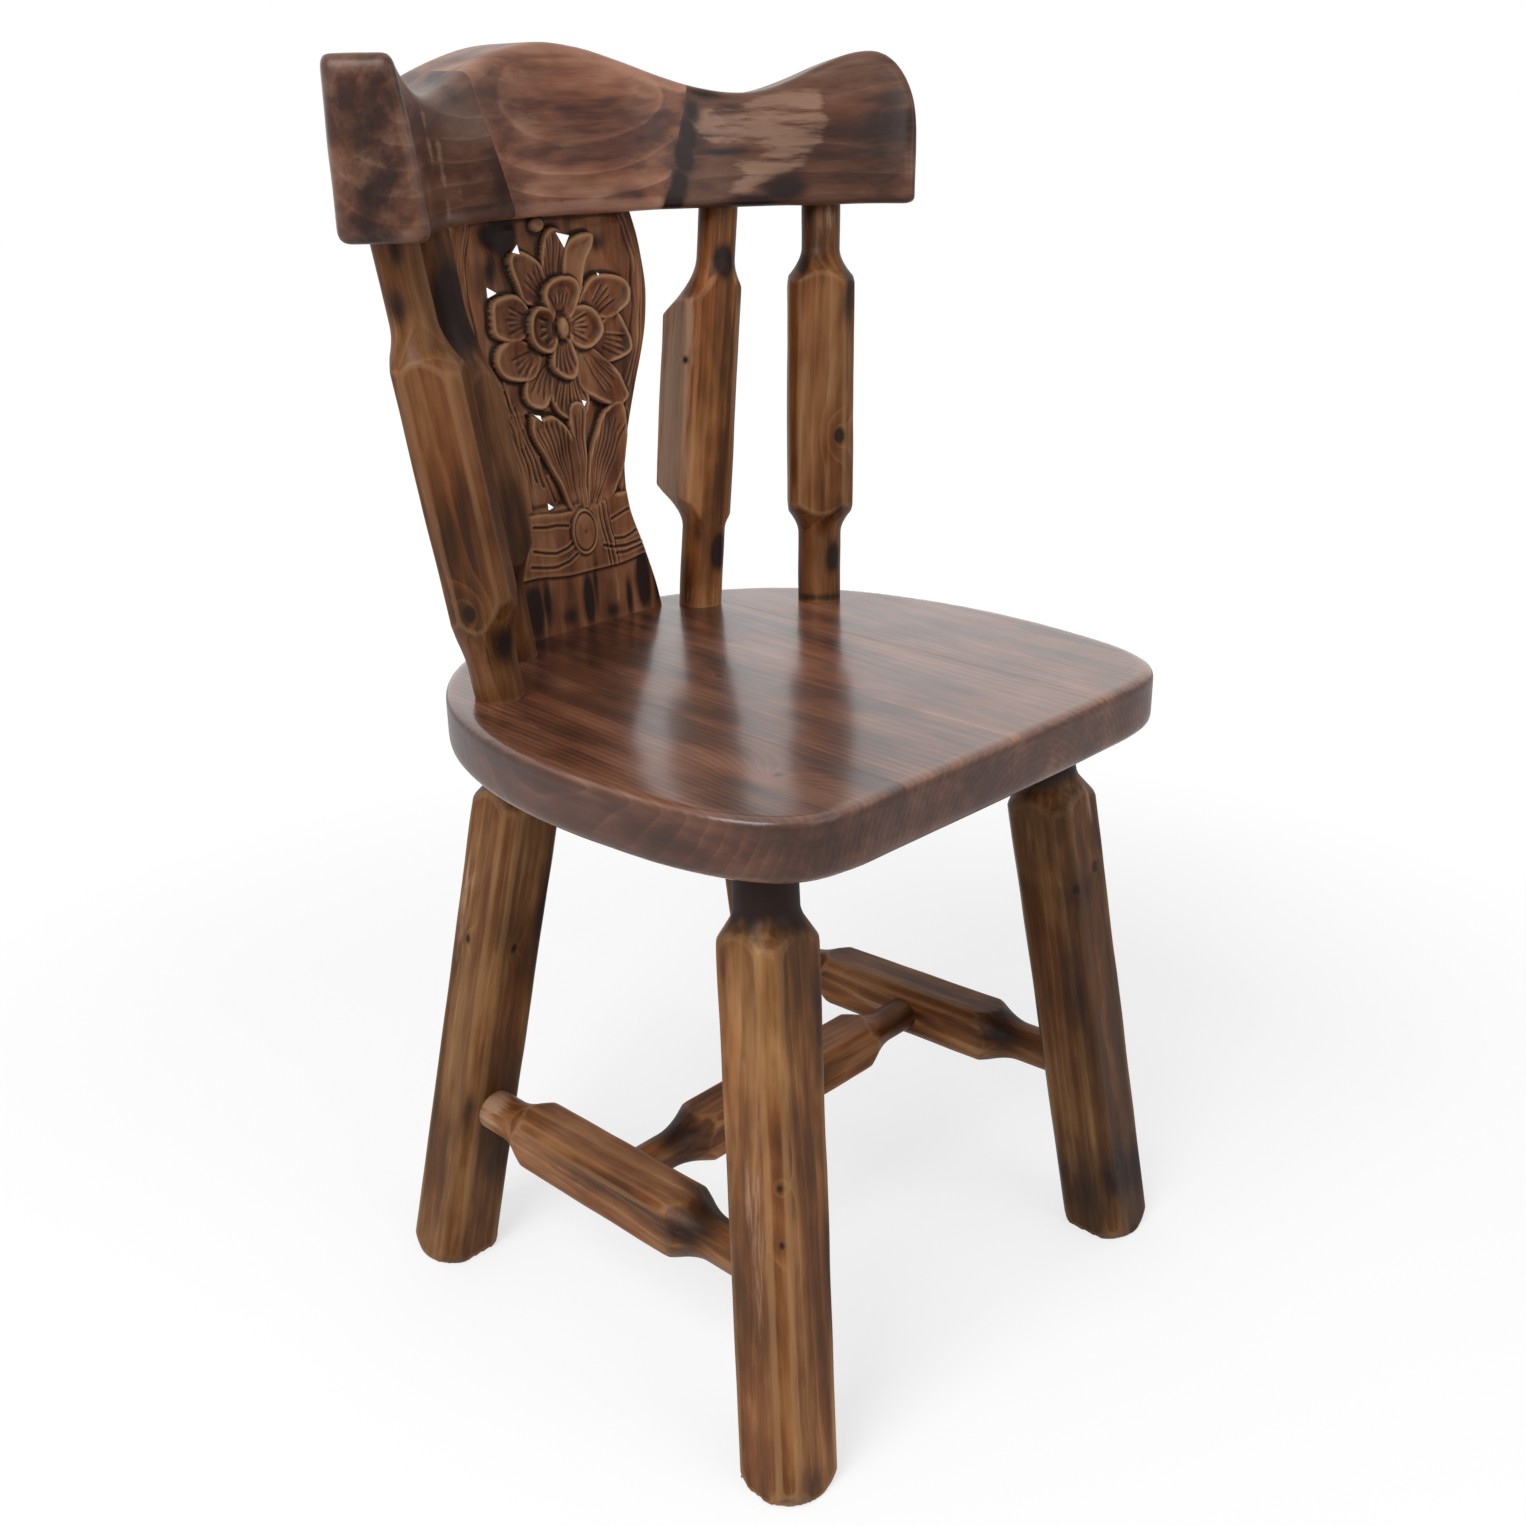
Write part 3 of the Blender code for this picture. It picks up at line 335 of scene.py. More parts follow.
def mark_wear_highlight_and_shade(piece, reach=9, scale=0.00035):
    """Marks the edges that hands and sanding rub pale and that also get a painted highlight, and the inner
    corners that get painted shade.
    """
    places = mesh_points(piece)
    count = len(places)
    ends = np.empty(len(piece.data.edges) * 2, dtype=np.int64)
    piece.data.edges.foreach_get("vertices", ends)
    first, second = ends.reshape(-1, 2).T
    meeting = np.bincount(first, minlength=count) + np.bincount(second, minlength=count)
    smoothed = places.copy()
    for _ in range(reach):
        total = np.empty_like(smoothed)
        for axis in range(3):
            total[:, axis] = np.bincount(first, smoothed[second, axis], count)
            total[:, axis] += np.bincount(second, smoothed[first, axis], count)
        smoothed = total / np.maximum(meeting, 1)[:, None]
    bulge = ((places - smoothed) * facings(piece)).sum(axis=1) / scale
    # Convex points: wear and a painted highlight; concave points: painted shade.
    keep(piece, "worn_and_highlit", np.clip(bulge, 0, 1))
    keep(piece, "painted_shade", np.clip(-bulge, 0, 1))


# Stained softwood
class Workings:
    """Nodes of one material or world, added one after the other."""

    def __init__(self, tree):
        self.tree = tree
        self.tree.nodes.clear()

    def add(self, kind, inputs=None, **settings):
        made = self.tree.nodes.new("ShaderNode" + kind)
        for name, value in settings.items():
            setattr(made, name, value)
        for name, value in (inputs or {}).items():
            if isinstance(value, bpy.types.NodeSocket):
                self.tree.links.new(value, made.inputs[name])
            else:
                made.inputs[name].default_value = value
        return made

    def math(self, operation, first, second=0.0, third=0.0, clamp=False):
        made = self.add("Math", {0: first, 1: second, 2: third}, operation=operation, use_clamp=clamp)
        return made.outputs[0]

    def vector(self, operation, first, second):
        return self.add("VectorMath", {0: first, 1: second}, operation=operation).outputs[0]

    def stretched(self, place, scale):
        return self.vector("MULTIPLY", place, scale)

    def lighter(self, colour, factor):
        return self.add("VectorMath", {0: colour, "Scale": factor}, operation="SCALE").outputs[0]

    def noise(self, place, seed, detail=3.0, roughness=0.55, output="Fac"):
        made = self.add(
            "TexNoise", {"Vector": place, "W": seed, "Scale": 1.0, "Detail": detail, "Roughness": roughness},
            noise_dimensions="4D")
        return made.outputs[output]

    def swayed(self, value, noise, depth):
        """The value, moved up and down by a noise round its middle."""
        return self.math("MULTIPLY_ADD", self.math("SUBTRACT", noise, 0.5), depth, value)

    def between(self, value, low, high, start=0.0, end=1.0):
        made = self.add(
            "MapRange", {"Value": value, "From Min": low, "From Max": high, "To Min": start, "To Max": end},
            interpolation_type="SMOOTHSTEP")
        return made.outputs[0]

    def colours(self, share, first, second, most=1.0):
        """The first colour, turned into the second by a share of at most most."""
        if most != 1.0:
            share = self.math("MULTIPLY", share, most)
        made = self.tree.nodes.new("ShaderNodeMix")
        made.data_type = "RGBA"
        for socket, value in ((made.inputs[0], share), (made.inputs[6], first), (made.inputs[7], second)):
            if isinstance(value, bpy.types.NodeSocket):
                self.tree.links.new(value, socket)
            else:
                socket.default_value = (*value, 1.0)
        return made.outputs[2]

    def ramp(self, value, stops):
        made = self.add("ValToRGB", {"Fac": value})
        points = made.color_ramp.elements
        while len(points) < len(stops):
            points.new(0.5)
        for point, (place, colour) in zip(points, stops):
            point.position = place
            point.color = (*colour, 1.0) if isinstance(colour, tuple) else (colour, colour, colour, 1.0)
        return made.outputs[0]

    def mark(self, name):
        return self.add("Attribute", attribute_name=name).outputs["Fac"]

    def finish(self, shader, kind="Material"):
        self.tree.links.new(shader.outputs[0], self.add("Output" + kind).inputs[0])


def new_material(name):
    """An empty material and its workings."""
    material = bpy.data.materials.new(name)
    material.use_nodes = True
    return material, Workings(material.node_tree)


def bent_grain(work, place, seed, wander):
    """The place, wandering slowly and quickly across the grain."""
    bent = place
    for scale, own_seed, reach in (((11, 11, 2.6), seed, wander), ((75, 75, 14), seed + 3.1, 0.0022)):
        drift = work.noise(work.stretched(place, scale), own_seed, 2.0, 0.5, "Color")
        drift = work.vector("SUBTRACT", drift, (0.5, 0.5, 0.5))
        bent = work.vector("ADD", bent, work.stretched(drift, (reach, reach, 0)))
    return bent


def growth_rings(work, bent, fade, spacing):
    """Growth rings about the local Z axis: each darkens slowly, then ends at once."""
    parts = work.add("SeparateXYZ", {0: bent}).outputs
    across = work.math("MULTIPLY", parts[0], parts[0])
    radius = work.math("SQRT", work.math("MULTIPLY_ADD", parts[1], parts[1], across))
    radius = work.math("SUBTRACT", radius, work.mark("swell"))
    year = work.math("FRACT", work.math("DIVIDE", radius, spacing))
    ring = work.ramp(year, ((0.0, 0.0), (0.45, 0.10), (0.80, 0.55), (0.93, 1.0), (1.0, 0.0)))
    return work.math("MULTIPLY", ring, work.between(fade, 0.25, 0.70, 0.35, 1.0))


def wear_highlight_and_shade(work, colour, fleck, fade, rub_and_highlight, darkest, lightest):
    """Rubbed edges are paler and carry a painted highlight; inner corners are darkened as painted shade."""
    worn_and_highlit = work.between(work.swayed(work.mark("worn_and_highlit"), fleck, 0.7), 0.22, 0.95)
    worn_and_highlit = work.math("MULTIPLY", worn_and_highlit, work.between(fade, 0.35, 0.60, 0.25, 1.0))
    # Convex edges lightened: wear and a painted highlight.
    colour = work.colours(worn_and_highlit, colour, lightest, rub_and_highlight)
    # Inner corners darkened: painted shade.
    return work.colours(work.between(work.mark("painted_shade"), 0.2, 0.9), colour, darkest, 0.55)


def torn_pale_and_sheen(work, colour, place, seed, tone, pale_colour):
    """Pale sapwood, torn out along the grain; on two spindles the same marks are a painted sheen."""
    torn = work.noise(work.stretched(place, (150, 150, 16)), seed + 8.8, 4.0, 0.65)
    pale = work.between(work.swayed(work.mark("pale"), torn, 1.3), 0.34, 0.62)
    return work.colours(pale, colour, work.lighter(pale_colour, work.math("MULTIPLY_ADD", tone, 0.55, 0.62)))


def scorch_and_shade_marks(work, colour, streak, fleck, stain, dark):
    """Scorch marks, broken up by the streaks they follow; on the seat's upright sides the same marks are
    painted shade. Gives the colour and the strength of the burn.
    """
    burn = work.swayed(work.mark("scorched"), streak, -0.24)
    burn = work.swayed(work.swayed(burn, fleck, -0.28), stain, -0.34)
    smoked = work.between(burn, 0.12, 0.68)
    burn = work.between(burn, 0.42, 0.86)
    colour = work.colours(smoked, colour, dark, 0.75)
    return work.colours(burn, colour, (0.012, 0.0050, 0.0042), 0.94), burn


def knotted(work, colour, fleck, dark):
    """Nearly black knots in a darker halo."""
    knot = work.mark("knot")
    core = work.between(work.swayed(knot, fleck, 0.35), 0.36, 0.70)
    colour = work.colours(work.between(knot, 0.05, 0.50), colour, dark, 0.45)
    return work.colours(core, colour, (0.012, 0.005, 0.003), 0.92)


def stained_wood(name, placement, seed, tones, ring_spacing=0.0060, ring_depth=-0.22, streak_depth=0.42,
                 stain_depth=0.42, roughness=0.42, coat=0.04, coat_roughness=0.25, specular=0.12,
                 pale_colour=(0.30, 0.175, 0.105), carved=False, wander=0.016, rub_and_highlight=0.40, coat_mark=None):
    """Softwood ringed about the placement's Z axis, with stain streaks, scorch marks and satin varnish."""
    material, work = new_material(name)
    into = placement.inverted()
    place = work.add(
        "Mapping", {"Vector": work.add("TexCoord").outputs["Object"], "Location": into.to_translation(),
                    "Rotation": into.to_euler("XYZ")}, vector_type="POINT").outputs[0]
    bent = bent_grain(work, place, seed, wander)
    fade = work.noise(work.stretched(place, (30, 30, 5)), seed + 5.7, 2.0)
    ring = growth_rings(work, bent, fade, ring_spacing)
    streak = work.between(work.noise(work.stretched(bent, (80, 80, 6.5)), seed + 1.3, 4.0, 0.6), 0.28, 0.72)
    stain = work.between(work.noise(work.stretched(bent, (26, 26, 10)), seed + 2.2, 3.0, 0.6), 0.32, 0.68)
    warmth = work.between(work.noise(work.stretched(bent, (34, 34, 9)), seed + 7.7, 2.0), 0.36, 0.64)
    fibre = work.noise(work.stretched(place, (1100, 1100, 26)), seed + 4.4, 3.0, 0.6)
    fleck = work.noise(work.stretched(place, (340, 340, 30)), seed + 6.6, 3.0, 0.6)

    tone = work.swayed(0.5, streak, streak_depth)
    for pattern, depth in ((stain, stain_depth), (fibre, 0.18), (fleck, 0.14)):
        tone = work.swayed(tone, pattern, depth)
    tone = work.math("SUBTRACT", tone, work.math("MULTIPLY", ring, ring_depth), clamp=True)
    tone = work.math("ADD", tone, ring_depth * 0.30, clamp=True)
    darkest, dark, middle, light, lightest = tones
    colour = work.ramp(tone, ((0.0, darkest), (0.25, dark), (0.5, middle), (0.75, light), (1.0, lightest)))
    colour = work.colours(warmth, colour, work.stretched(colour, (0.98, 0.74, 0.66)), 0.60)

    # Painted highlight on convex edges, painted shade in inner corners.
    colour = wear_highlight_and_shade(work, colour, fleck, fade, rub_and_highlight, darkest, lightest)
    colour = torn_pale_and_sheen(work, colour, place, seed, tone, pale_colour)
    colour, burn = scorch_and_shade_marks(work, colour, streak, fleck, stain, dark)
    colour = knotted(work, colour, fleck, dark)
    if carved:
        # Carving's hollows: gathered stain and painted shade; its ridges: wear and a painted highlight.
        colour = work.colours(work.mark("hollow"), colour, (0.013, 0.0055, 0.0035), 0.88)
        colour = work.colours(work.mark("raised"), colour, work.lighter(lightest, 1.15), 0.75)

    height = work.math("MULTIPLY_ADD", ring, -0.35, work.math("MULTIPLY", fibre, 0.45))
    height = work.math("MULTIPLY_ADD", fleck, 0.35, height)
    bump = work.add("Bump", {"Height": height, "Strength": 0.30, "Distance": 0.0006})
    gloss = work.math("MULTIPLY_ADD", fleck, 0.16, roughness - 0.08)
    gloss = work.math("MULTIPLY_ADD", burn, 0.08, gloss)
    if coat_mark:
        coat = work.math("MULTIPLY", work.mark(coat_mark), coat)
    work.finish(work.add(
        "BsdfPrincipled",
        {"Base Color": colour, "Roughness": gloss, "Normal": bump.outputs[0], "Coat Weight": coat,
         "Coat Roughness": coat_roughness, "IOR": 1.5, "Specular IOR Level": specular}))
    return material


def finish_piece(piece, node, material):
    """Gives a piece its wood and hands it its place on the chair."""
    mark_wear_highlight_and_shade(piece)
    piece.data.materials.clear()
    piece.data.materials.append(material)
    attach(piece, "root")
    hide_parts(node)


# Five tones of each wood, darkest to lightest
leg_tones = ((0.028, 0.011, 0.004), (0.080, 0.031, 0.009), (0.145, 0.058, 0.016), (0.240, 0.117, 0.042),
             (0.340, 0.190, 0.082))
spindle_tones = ((0.016, 0.007, 0.003), (0.060, 0.022, 0.006), (0.142, 0.052, 0.014), (0.225, 0.101, 0.038),
                 (0.320, 0.168, 0.080))
crest_tones = ((0.014, 0.006, 0.005), (0.056, 0.021, 0.013), (0.134, 0.056, 0.032), (0.200, 0.102, 0.064),
               (0.300, 0.165, 0.115))
seat_tones = ((0.012, 0.005, 0.004), (0.050, 0.018, 0.010), (0.112, 0.040, 0.021), (0.170, 0.072, 0.040),
              (0.245, 0.120, 0.072))
splat_tones = ((0.020, 0.008, 0.005), (0.072, 0.027, 0.012), (0.165, 0.064, 0.028), (0.255, 0.118, 0.056),
               (0.360, 0.195, 0.105))


def toned(tones, share):
    """The same tones, lighter or darker."""
    return tuple(tuple(part * share for part in tone) for tone in tones)


# Turned and squared bars: legs, stretchers and spindles
def square_bar(name, width, corner, low, high, set_left=0.0, set_back=0.0):
    """A square bar along Z whose long edges are planed off."""
    clear_selection()
    bpy.ops.mesh.primitive_cube_add(
        size=1, location=(set_left, set_back, (low + high) / 2), scale=(width, width, high - low))
    bar = bpy.context.object
    bar.name = name
    settle(bar)
    pick(bar, "edges", lambda edge: abs((edge.verts[0].co - edge.verts[1].co).z) > width)
    bpy.ops.mesh.bevel(offset=corner, segments=1, affect="EDGES")
    close_edit(bar)
    return bar


def turned_shape(profile):
    """The lathe's shape: a disc drawn out and scaled along the profile's (radius, height) pairs."""
    radius, height = profile[0]
    clear_selection()
    bpy.ops.mesh.primitive_circle_add(vertices=72, radius=radius, fill_type="NGON", location=(0, 0, height))
    shape = bpy.context.object
    settle(shape)
    pick(shape, "faces", lambda face: True)
    for (radius, height), (next_radius, next_height) in zip(profile, profile[1:]):
        bpy.ops.mesh.extrude_region_move(TRANSFORM_OT_translate={"value": (0, 0, next_height - height)})
        growth = next_radius / radius
        bpy.ops.transform.resize(value=(growth, growth, 1), center_override=(0, 0, next_height))
    close_edit(shape)
    return shape


def hollow_shoulder(neck_radius, full_radius, neck_end, full_start, steps=9):
    """A hollow turned shoulder from a neck out to a full radius."""
    pairs = []
    for step in range(steps + 1):
        share = step / steps
        radius = neck_radius + (full_radius - neck_radius) * share ** shoulder_hollow_power
        pairs.append((radius, neck_end + (full_start - neck_end) * share))
    return pairs


def turned_bar(name, placement, bar, profile, grain, unevenness):
    """A planed bar kept only where the lathe's shape also is, eased and put in its place."""
    cut_with(bar, turned_shape(profile), "INTERSECT")
    soften(bar, grain, bar_passes)
    hand_finish(bar, unevenness, bar_dent_size, name + "_unevenness")
    bar.name = name
    bar.matrix_world = placement
    settle(bar)
    return bar


def leg_axis(end, side):
    """Floor point and seat-underside point of a leg's axis."""
    (foot_spacing, foot_y), (top_spacing, top_y) = leg_feet_and_tops[end]
    foot = Vector((side * foot_spacing / 2, foot_y, 0)) + chair_shift
    top = Vector((side * top_spacing / 2, top_y, seat_underside)) + chair_shift
    return foot, top


def make_leg(name, end, side):
    """A square leg with a turned shoulder and neck, its foot cut flat on the floor."""
    foot, top = leg_axis(end, side)
    placement = along(foot, top, Vector((1, 0, 0)))
    length = (top - foot).length
    bar = square_bar(name, leg_width, leg_corner, -overrun, length + overrun)
    neck_start = length - leg_neck_length
    neck_radius = leg_neck_diameter / 2
    slope = (leg_width * leg_shoulder_reach_share - neck_radius) / leg_shoulder_length
    soften_length = leg_shoulder_length / 8
    profile = [(leg_width * share, height) for share, height in leg_foot_profile]
    profile += [
        (leg_width, neck_start - (leg_width - neck_radius) / slope),
        (neck_radius + slope * soften_length, neck_start - soften_length),
        (neck_radius, neck_start + soften_length),
        (neck_radius * 0.985, length + 0.004),
    ]
    cut_with(bar, turned_shape(profile), "INTERSECT")
    bar.matrix_world = placement
    settle(bar)
    saw(bar, Vector((0, 0, 0)), Vector((0, 0, -1)))
    pick(bar, "edges", lambda edge: max(edge.verts[0].co.z, edge.verts[1].co.z) < 0.0001)
    bpy.ops.mesh.bevel(offset=leg_foot_round, segments=3, affect="EDGES")
    close_edit(bar)
    take(bar)
    bar.data.transform(placement.inverted())
    soften(bar, leg_grain, bar_passes)
    hand_finish(bar, leg_unevenness, leg_dent_size, name + "_unevenness")
    bar.matrix_world = placement
    settle(bar)
    places = mesh_points(bar)
    places[:, 2] = np.where(places[:, 2] < 0.0008, 0.0, places[:, 2])
    set_points(bar, places)
    return bar, placement


def on_leg(end, side, height):
    """The point of a leg's axis at a height above the floor."""
    foot, top = leg_axis(end, side)
    return foot + (top - foot) * (height / top.z)


def bar_profile(low, high, low_neck, low_shoulder, high_neck, high_shoulder, diameters, full):
    """Turned profile of a bar from low to high: necks that end at a height, shoulders with a length."""
    low_radius, high_radius = diameters[0] / 2, diameters[1] / 2
    profile = [(low_radius, low)] + hollow_shoulder(low_radius, full, low_neck, low_neck + low_shoulder)
    profile += list(reversed(hollow_shoulder(high_radius, full, high_neck, high_neck - high_shoulder)))
    return profile + [(high_radius, high)]


def side_stretcher_ends(side):
    """Where a side stretcher's axis meets the axes of its back leg and its front leg."""
    return (on_leg("back", side, side_stretcher_height_at_back),
            on_leg("front", side, side_stretcher_height_at_front))


def make_side_stretcher(name, side):
    """A stretcher from a back leg to a front leg."""
    start, end = side_stretcher_ends(side)
    placement = along(start, end, Vector((1, 0, 0)))
    length = (end - start).length
    inside = leg_width / 2 - socket_depth_shown
    profile = bar_profile(
        inside, length - inside, side_stretcher_back_neck, side_stretcher_shoulder,
        length - side_stretcher_front_neck, side_stretcher_shoulder,
        (side_stretcher_neck_diameter,) * 2, side_stretcher_width * turned_reach_share)
    bar = square_bar(name, side_stretcher_width, stretcher_corner, 0, length)
    return turned_bar(name, placement, bar, profile, stretcher_grain, stretcher_unevenness), placement


def make_cross_stretcher(name):
    """The stretcher between the two side stretchers."""
    ends = []
    for side in (-1, 1):
        start, end = side_stretcher_ends(side)
        ends.append(start + (end - start) * cross_stretcher_place_share)
    placement = along(ends[0], ends[1], Vector((0, 1, 0)))
    length = (ends[1] - ends[0]).length
    inside = side_stretcher_width / 2 - cross_socket_depth_shown
    profile = bar_profile(
        inside, length - inside, cross_stretcher_neck, cross_stretcher_shoulder,
        length - cross_stretcher_neck, cross_stretcher_shoulder,
        (cross_stretcher_neck_diameter,) * 2, cross_stretcher_width * turned_reach_share)
    bar = square_bar(name, cross_stretcher_width, stretcher_corner, 0, length)
    return turned_bar(name, placement, bar, profile, stretcher_grain, stretcher_unevenness), placement


def spindle_axis(side, foot_spacing, foot_from_back, top_distance):
    """Axis of one spindle from the seat's top to the middle of the crest's underside."""
    foot = Vector((side * foot_spacing / 2, seat_back - foot_from_back, seat_height))
    across = side * top_distance
    radius = crest_inner_radius + crest_end_thickness / 2
    angle = math.atan2(abs(across), math.sqrt(radius ** 2 - across ** 2))
    radius = crest_inner_radius + crest_thickness(crest_inner_radius * angle) / 2
    top = Vector((across, crest_centre_y + math.sqrt(radius ** 2 - across ** 2), crest_bottom_height))
    return foot + chair_shift, top + chair_shift


def make_spindle(name, side, stand, shape):
    """A faceted spindle with a round neck at both ends."""
    foot_spacing, foot_from_back, top_distance, degrees = stand
    low_neck, low_shoulder, high_neck, high_shoulder, set_back, set_left, width = shape
    foot, top = spindle_axis(side, foot_spacing, foot_from_back, top_distance)
    placement = along(foot, top, Matrix.Rotation(-side * math.radians(degrees), 3, "Z") @ Vector((1, 0, 0)))
    length = (top - foot).length
    full = width * turned_reach_share + max(abs(set_back), abs(set_left))
    profile = bar_profile(
        -spindle_sunk, length + spindle_sunk, low_neck, low_shoulder, length - high_neck, high_shoulder,
        (spindle_foot_neck_diameter, spindle_top_neck_diameter), full)
    bar = square_bar(name, width, spindle_corner, -overrun, length + overrun, set_left, set_back)
    return turned_bar(name, placement, bar, profile, spindle_grain, spindle_unevenness), placement


# Seat
def smooth_between(points, steps):
    """A smooth curve through the points, with the given steps from each to the next."""
    curve = []
    last = len(points) - 1
    for index in range(last):
        before = Vector(points[max(index - 1, 0)])
        here = Vector(points[index])
        there = Vector(points[index + 1])
        after = Vector(points[min(index + 2, last)])
        for step in range(steps):
            share = step / steps
            bend = 2 * here + (there - before) * share
            bend += (2 * before - 5 * here + 4 * there - after) * share ** 2
            bend += (3 * here - before - 3 * there + after) * share ** 3
            curve.append(bend / 2)
    curve.append(Vector(points[last]))
    return curve


def make_seat_panel():
    """The seat before it is parted: its outline drawn up and its edges rounded over."""
    half = smooth_between(seat_outline_shares, 4)
    right = [(point.x * seat_width / 2, seat_front + point.y * seat_depth) for point in half]
    outline = right + [(-x, y) for x, y in reversed(right[1:-1])]
    clear_selection()
    bpy.ops.mesh.primitive_circle_add(vertices=len(outline), radius=0.2, fill_type="NGON",
                                      location=(0, 0, seat_underside))
    panel = bpy.context.object
    settle(panel)
    for vertex, (x, y) in zip(panel.data.vertices, outline):
        vertex.co = Vector((x, y, seat_underside)) + chair_shift
    pick(panel, "faces", lambda face: True)
    bpy.ops.mesh.extrude_region_move(TRANSFORM_OT_translate={"value": (0, 0, seat_thickness)})
    close_edit(panel)
    for height, size in ((seat_height, seat_top_round), (seat_underside, seat_bottom_round)):
        pick(panel, "edges", lambda edge: all(abs(vertex.co.z - height) < 0.0001 for vertex in edge.verts))
        bpy.ops.mesh.bevel(offset=size, segments=4, affect="EDGES")
        close_edit(panel)
    soften(panel, seat_grain, seat_passes)
    hand_finish(panel, seat_unevenness, seat_dent_size, "seat_unevenness")
    return panel


# Crest rail
def crest_thickness(place):
    """Thickness of the rail's foot at a distance from its middle along the inner face."""
    change = (crest_end_thickness - crest_middle_thickness) * (place / crest_half_length) ** 2
    return crest_middle_thickness + change


def crest_height(place):
    """Height of the rail's top edge at a distance to the left of its middle."""
    ear_height = crest_left_ear_height if place > 0 else crest_right_ear_height
    run = abs(place + crest_hump_off_centre) / (crest_half_length + crest_hump_off_centre)
    if run <= crest_dip_place_share:
        wave = (1 + math.cos(math.pi * run / crest_dip_place_share)) / 2
        return crest_dip_height + (crest_hump_height - crest_dip_height) * wave
    if run <= crest_ear_place_share:
        climb = (run - crest_dip_place_share) / (crest_ear_place_share - crest_dip_place_share)
        return crest_dip_height + (ear_height - crest_dip_height) * (1 - math.cos(math.pi * climb)) / 2
    fall = (run - crest_ear_place_share) / (1 - crest_ear_place_share)
    return ear_height - crest_ear_drop * (1 - math.sqrt(abs(1 - min(fall, 1) ** 2)))


def crest_point(place, outwards, height):
    """A point of the rail: distance along it, distance behind the inner face's foot, height."""
    skew = crest_end_skew_share * outwards * (place / crest_half_length) ** 3
    angle = (place - skew) / crest_inner_radius
    lean = crest_front_lean * (max(height, 0) / crest_left_ear_height) ** crest_lean_power
    radius = crest_inner_radius + outwards + lean * (1 - outwards / crest_thickness(place))
    drop = crest_right_end_drop * max(-place / crest_half_length, 0) ** 3
    return (radius * math.sin(angle), crest_centre_y + radius * math.cos(angle),
            crest_bottom_height + height - drop)


def make_crest_rail():
    """A straight beam with rounded edges, bent to the rail's arc and shaped to its humps."""
    thick = (crest_middle_thickness + crest_end_thickness) / 2
    high = crest_blank_height
    clear_selection()
    bpy.ops.mesh.primitive_cube_add(
        size=1, location=(0, thick / 2, high / 2), scale=(2 * crest_half_length, thick, high))
    rail = bpy.context.object
    settle(rail)
    pick(rail, "edges", lambda edge: True)
    bpy.ops.mesh.bevel(offset=crest_edge_round, segments=4, affect="EDGES")
    close_edit(rail)
    soften(rail, crest_rough_grain, 1)
    places = mesh_points(rail)
    for index, (x, y, z) in enumerate(places):
        x = min(max(x, -crest_half_length), crest_half_length)
        places[index] = crest_point(x, y / thick * crest_thickness(x), z / high * crest_height(x))
    set_points(rail, places + np.array(chair_shift))
    soften(rail, crest_grain, crest_passes)
    hand_finish(rail, crest_unevenness, crest_dent_size, "crest_unevenness")
    return rail


def crest_joint(side):
    """Middle point and direction of a glue joint; the direction points away from the middle block."""
    places = []
    for distance in (crest_joint_foot_distance, crest_joint_top_distance):
        places.append(side * crest_inner_radius * math.asin(distance / crest_inner_radius))
    half_thickness = crest_thickness(sum(places) / 2) / 2
    low = Vector(crest_point(places[0], half_thickness, 0))
    high = Vector(crest_point(places[1], half_thickness, crest_joint_top_height))
    outwards = Vector(((low.x + high.x) / 2, (low.y + high.y) / 2 - crest_centre_y, 0)).normalized()
    away = outwards.cross(high - low).normalized()
    if away.x * side < 0:
        away = -away
    return (low + high) / 2 + chair_shift, away


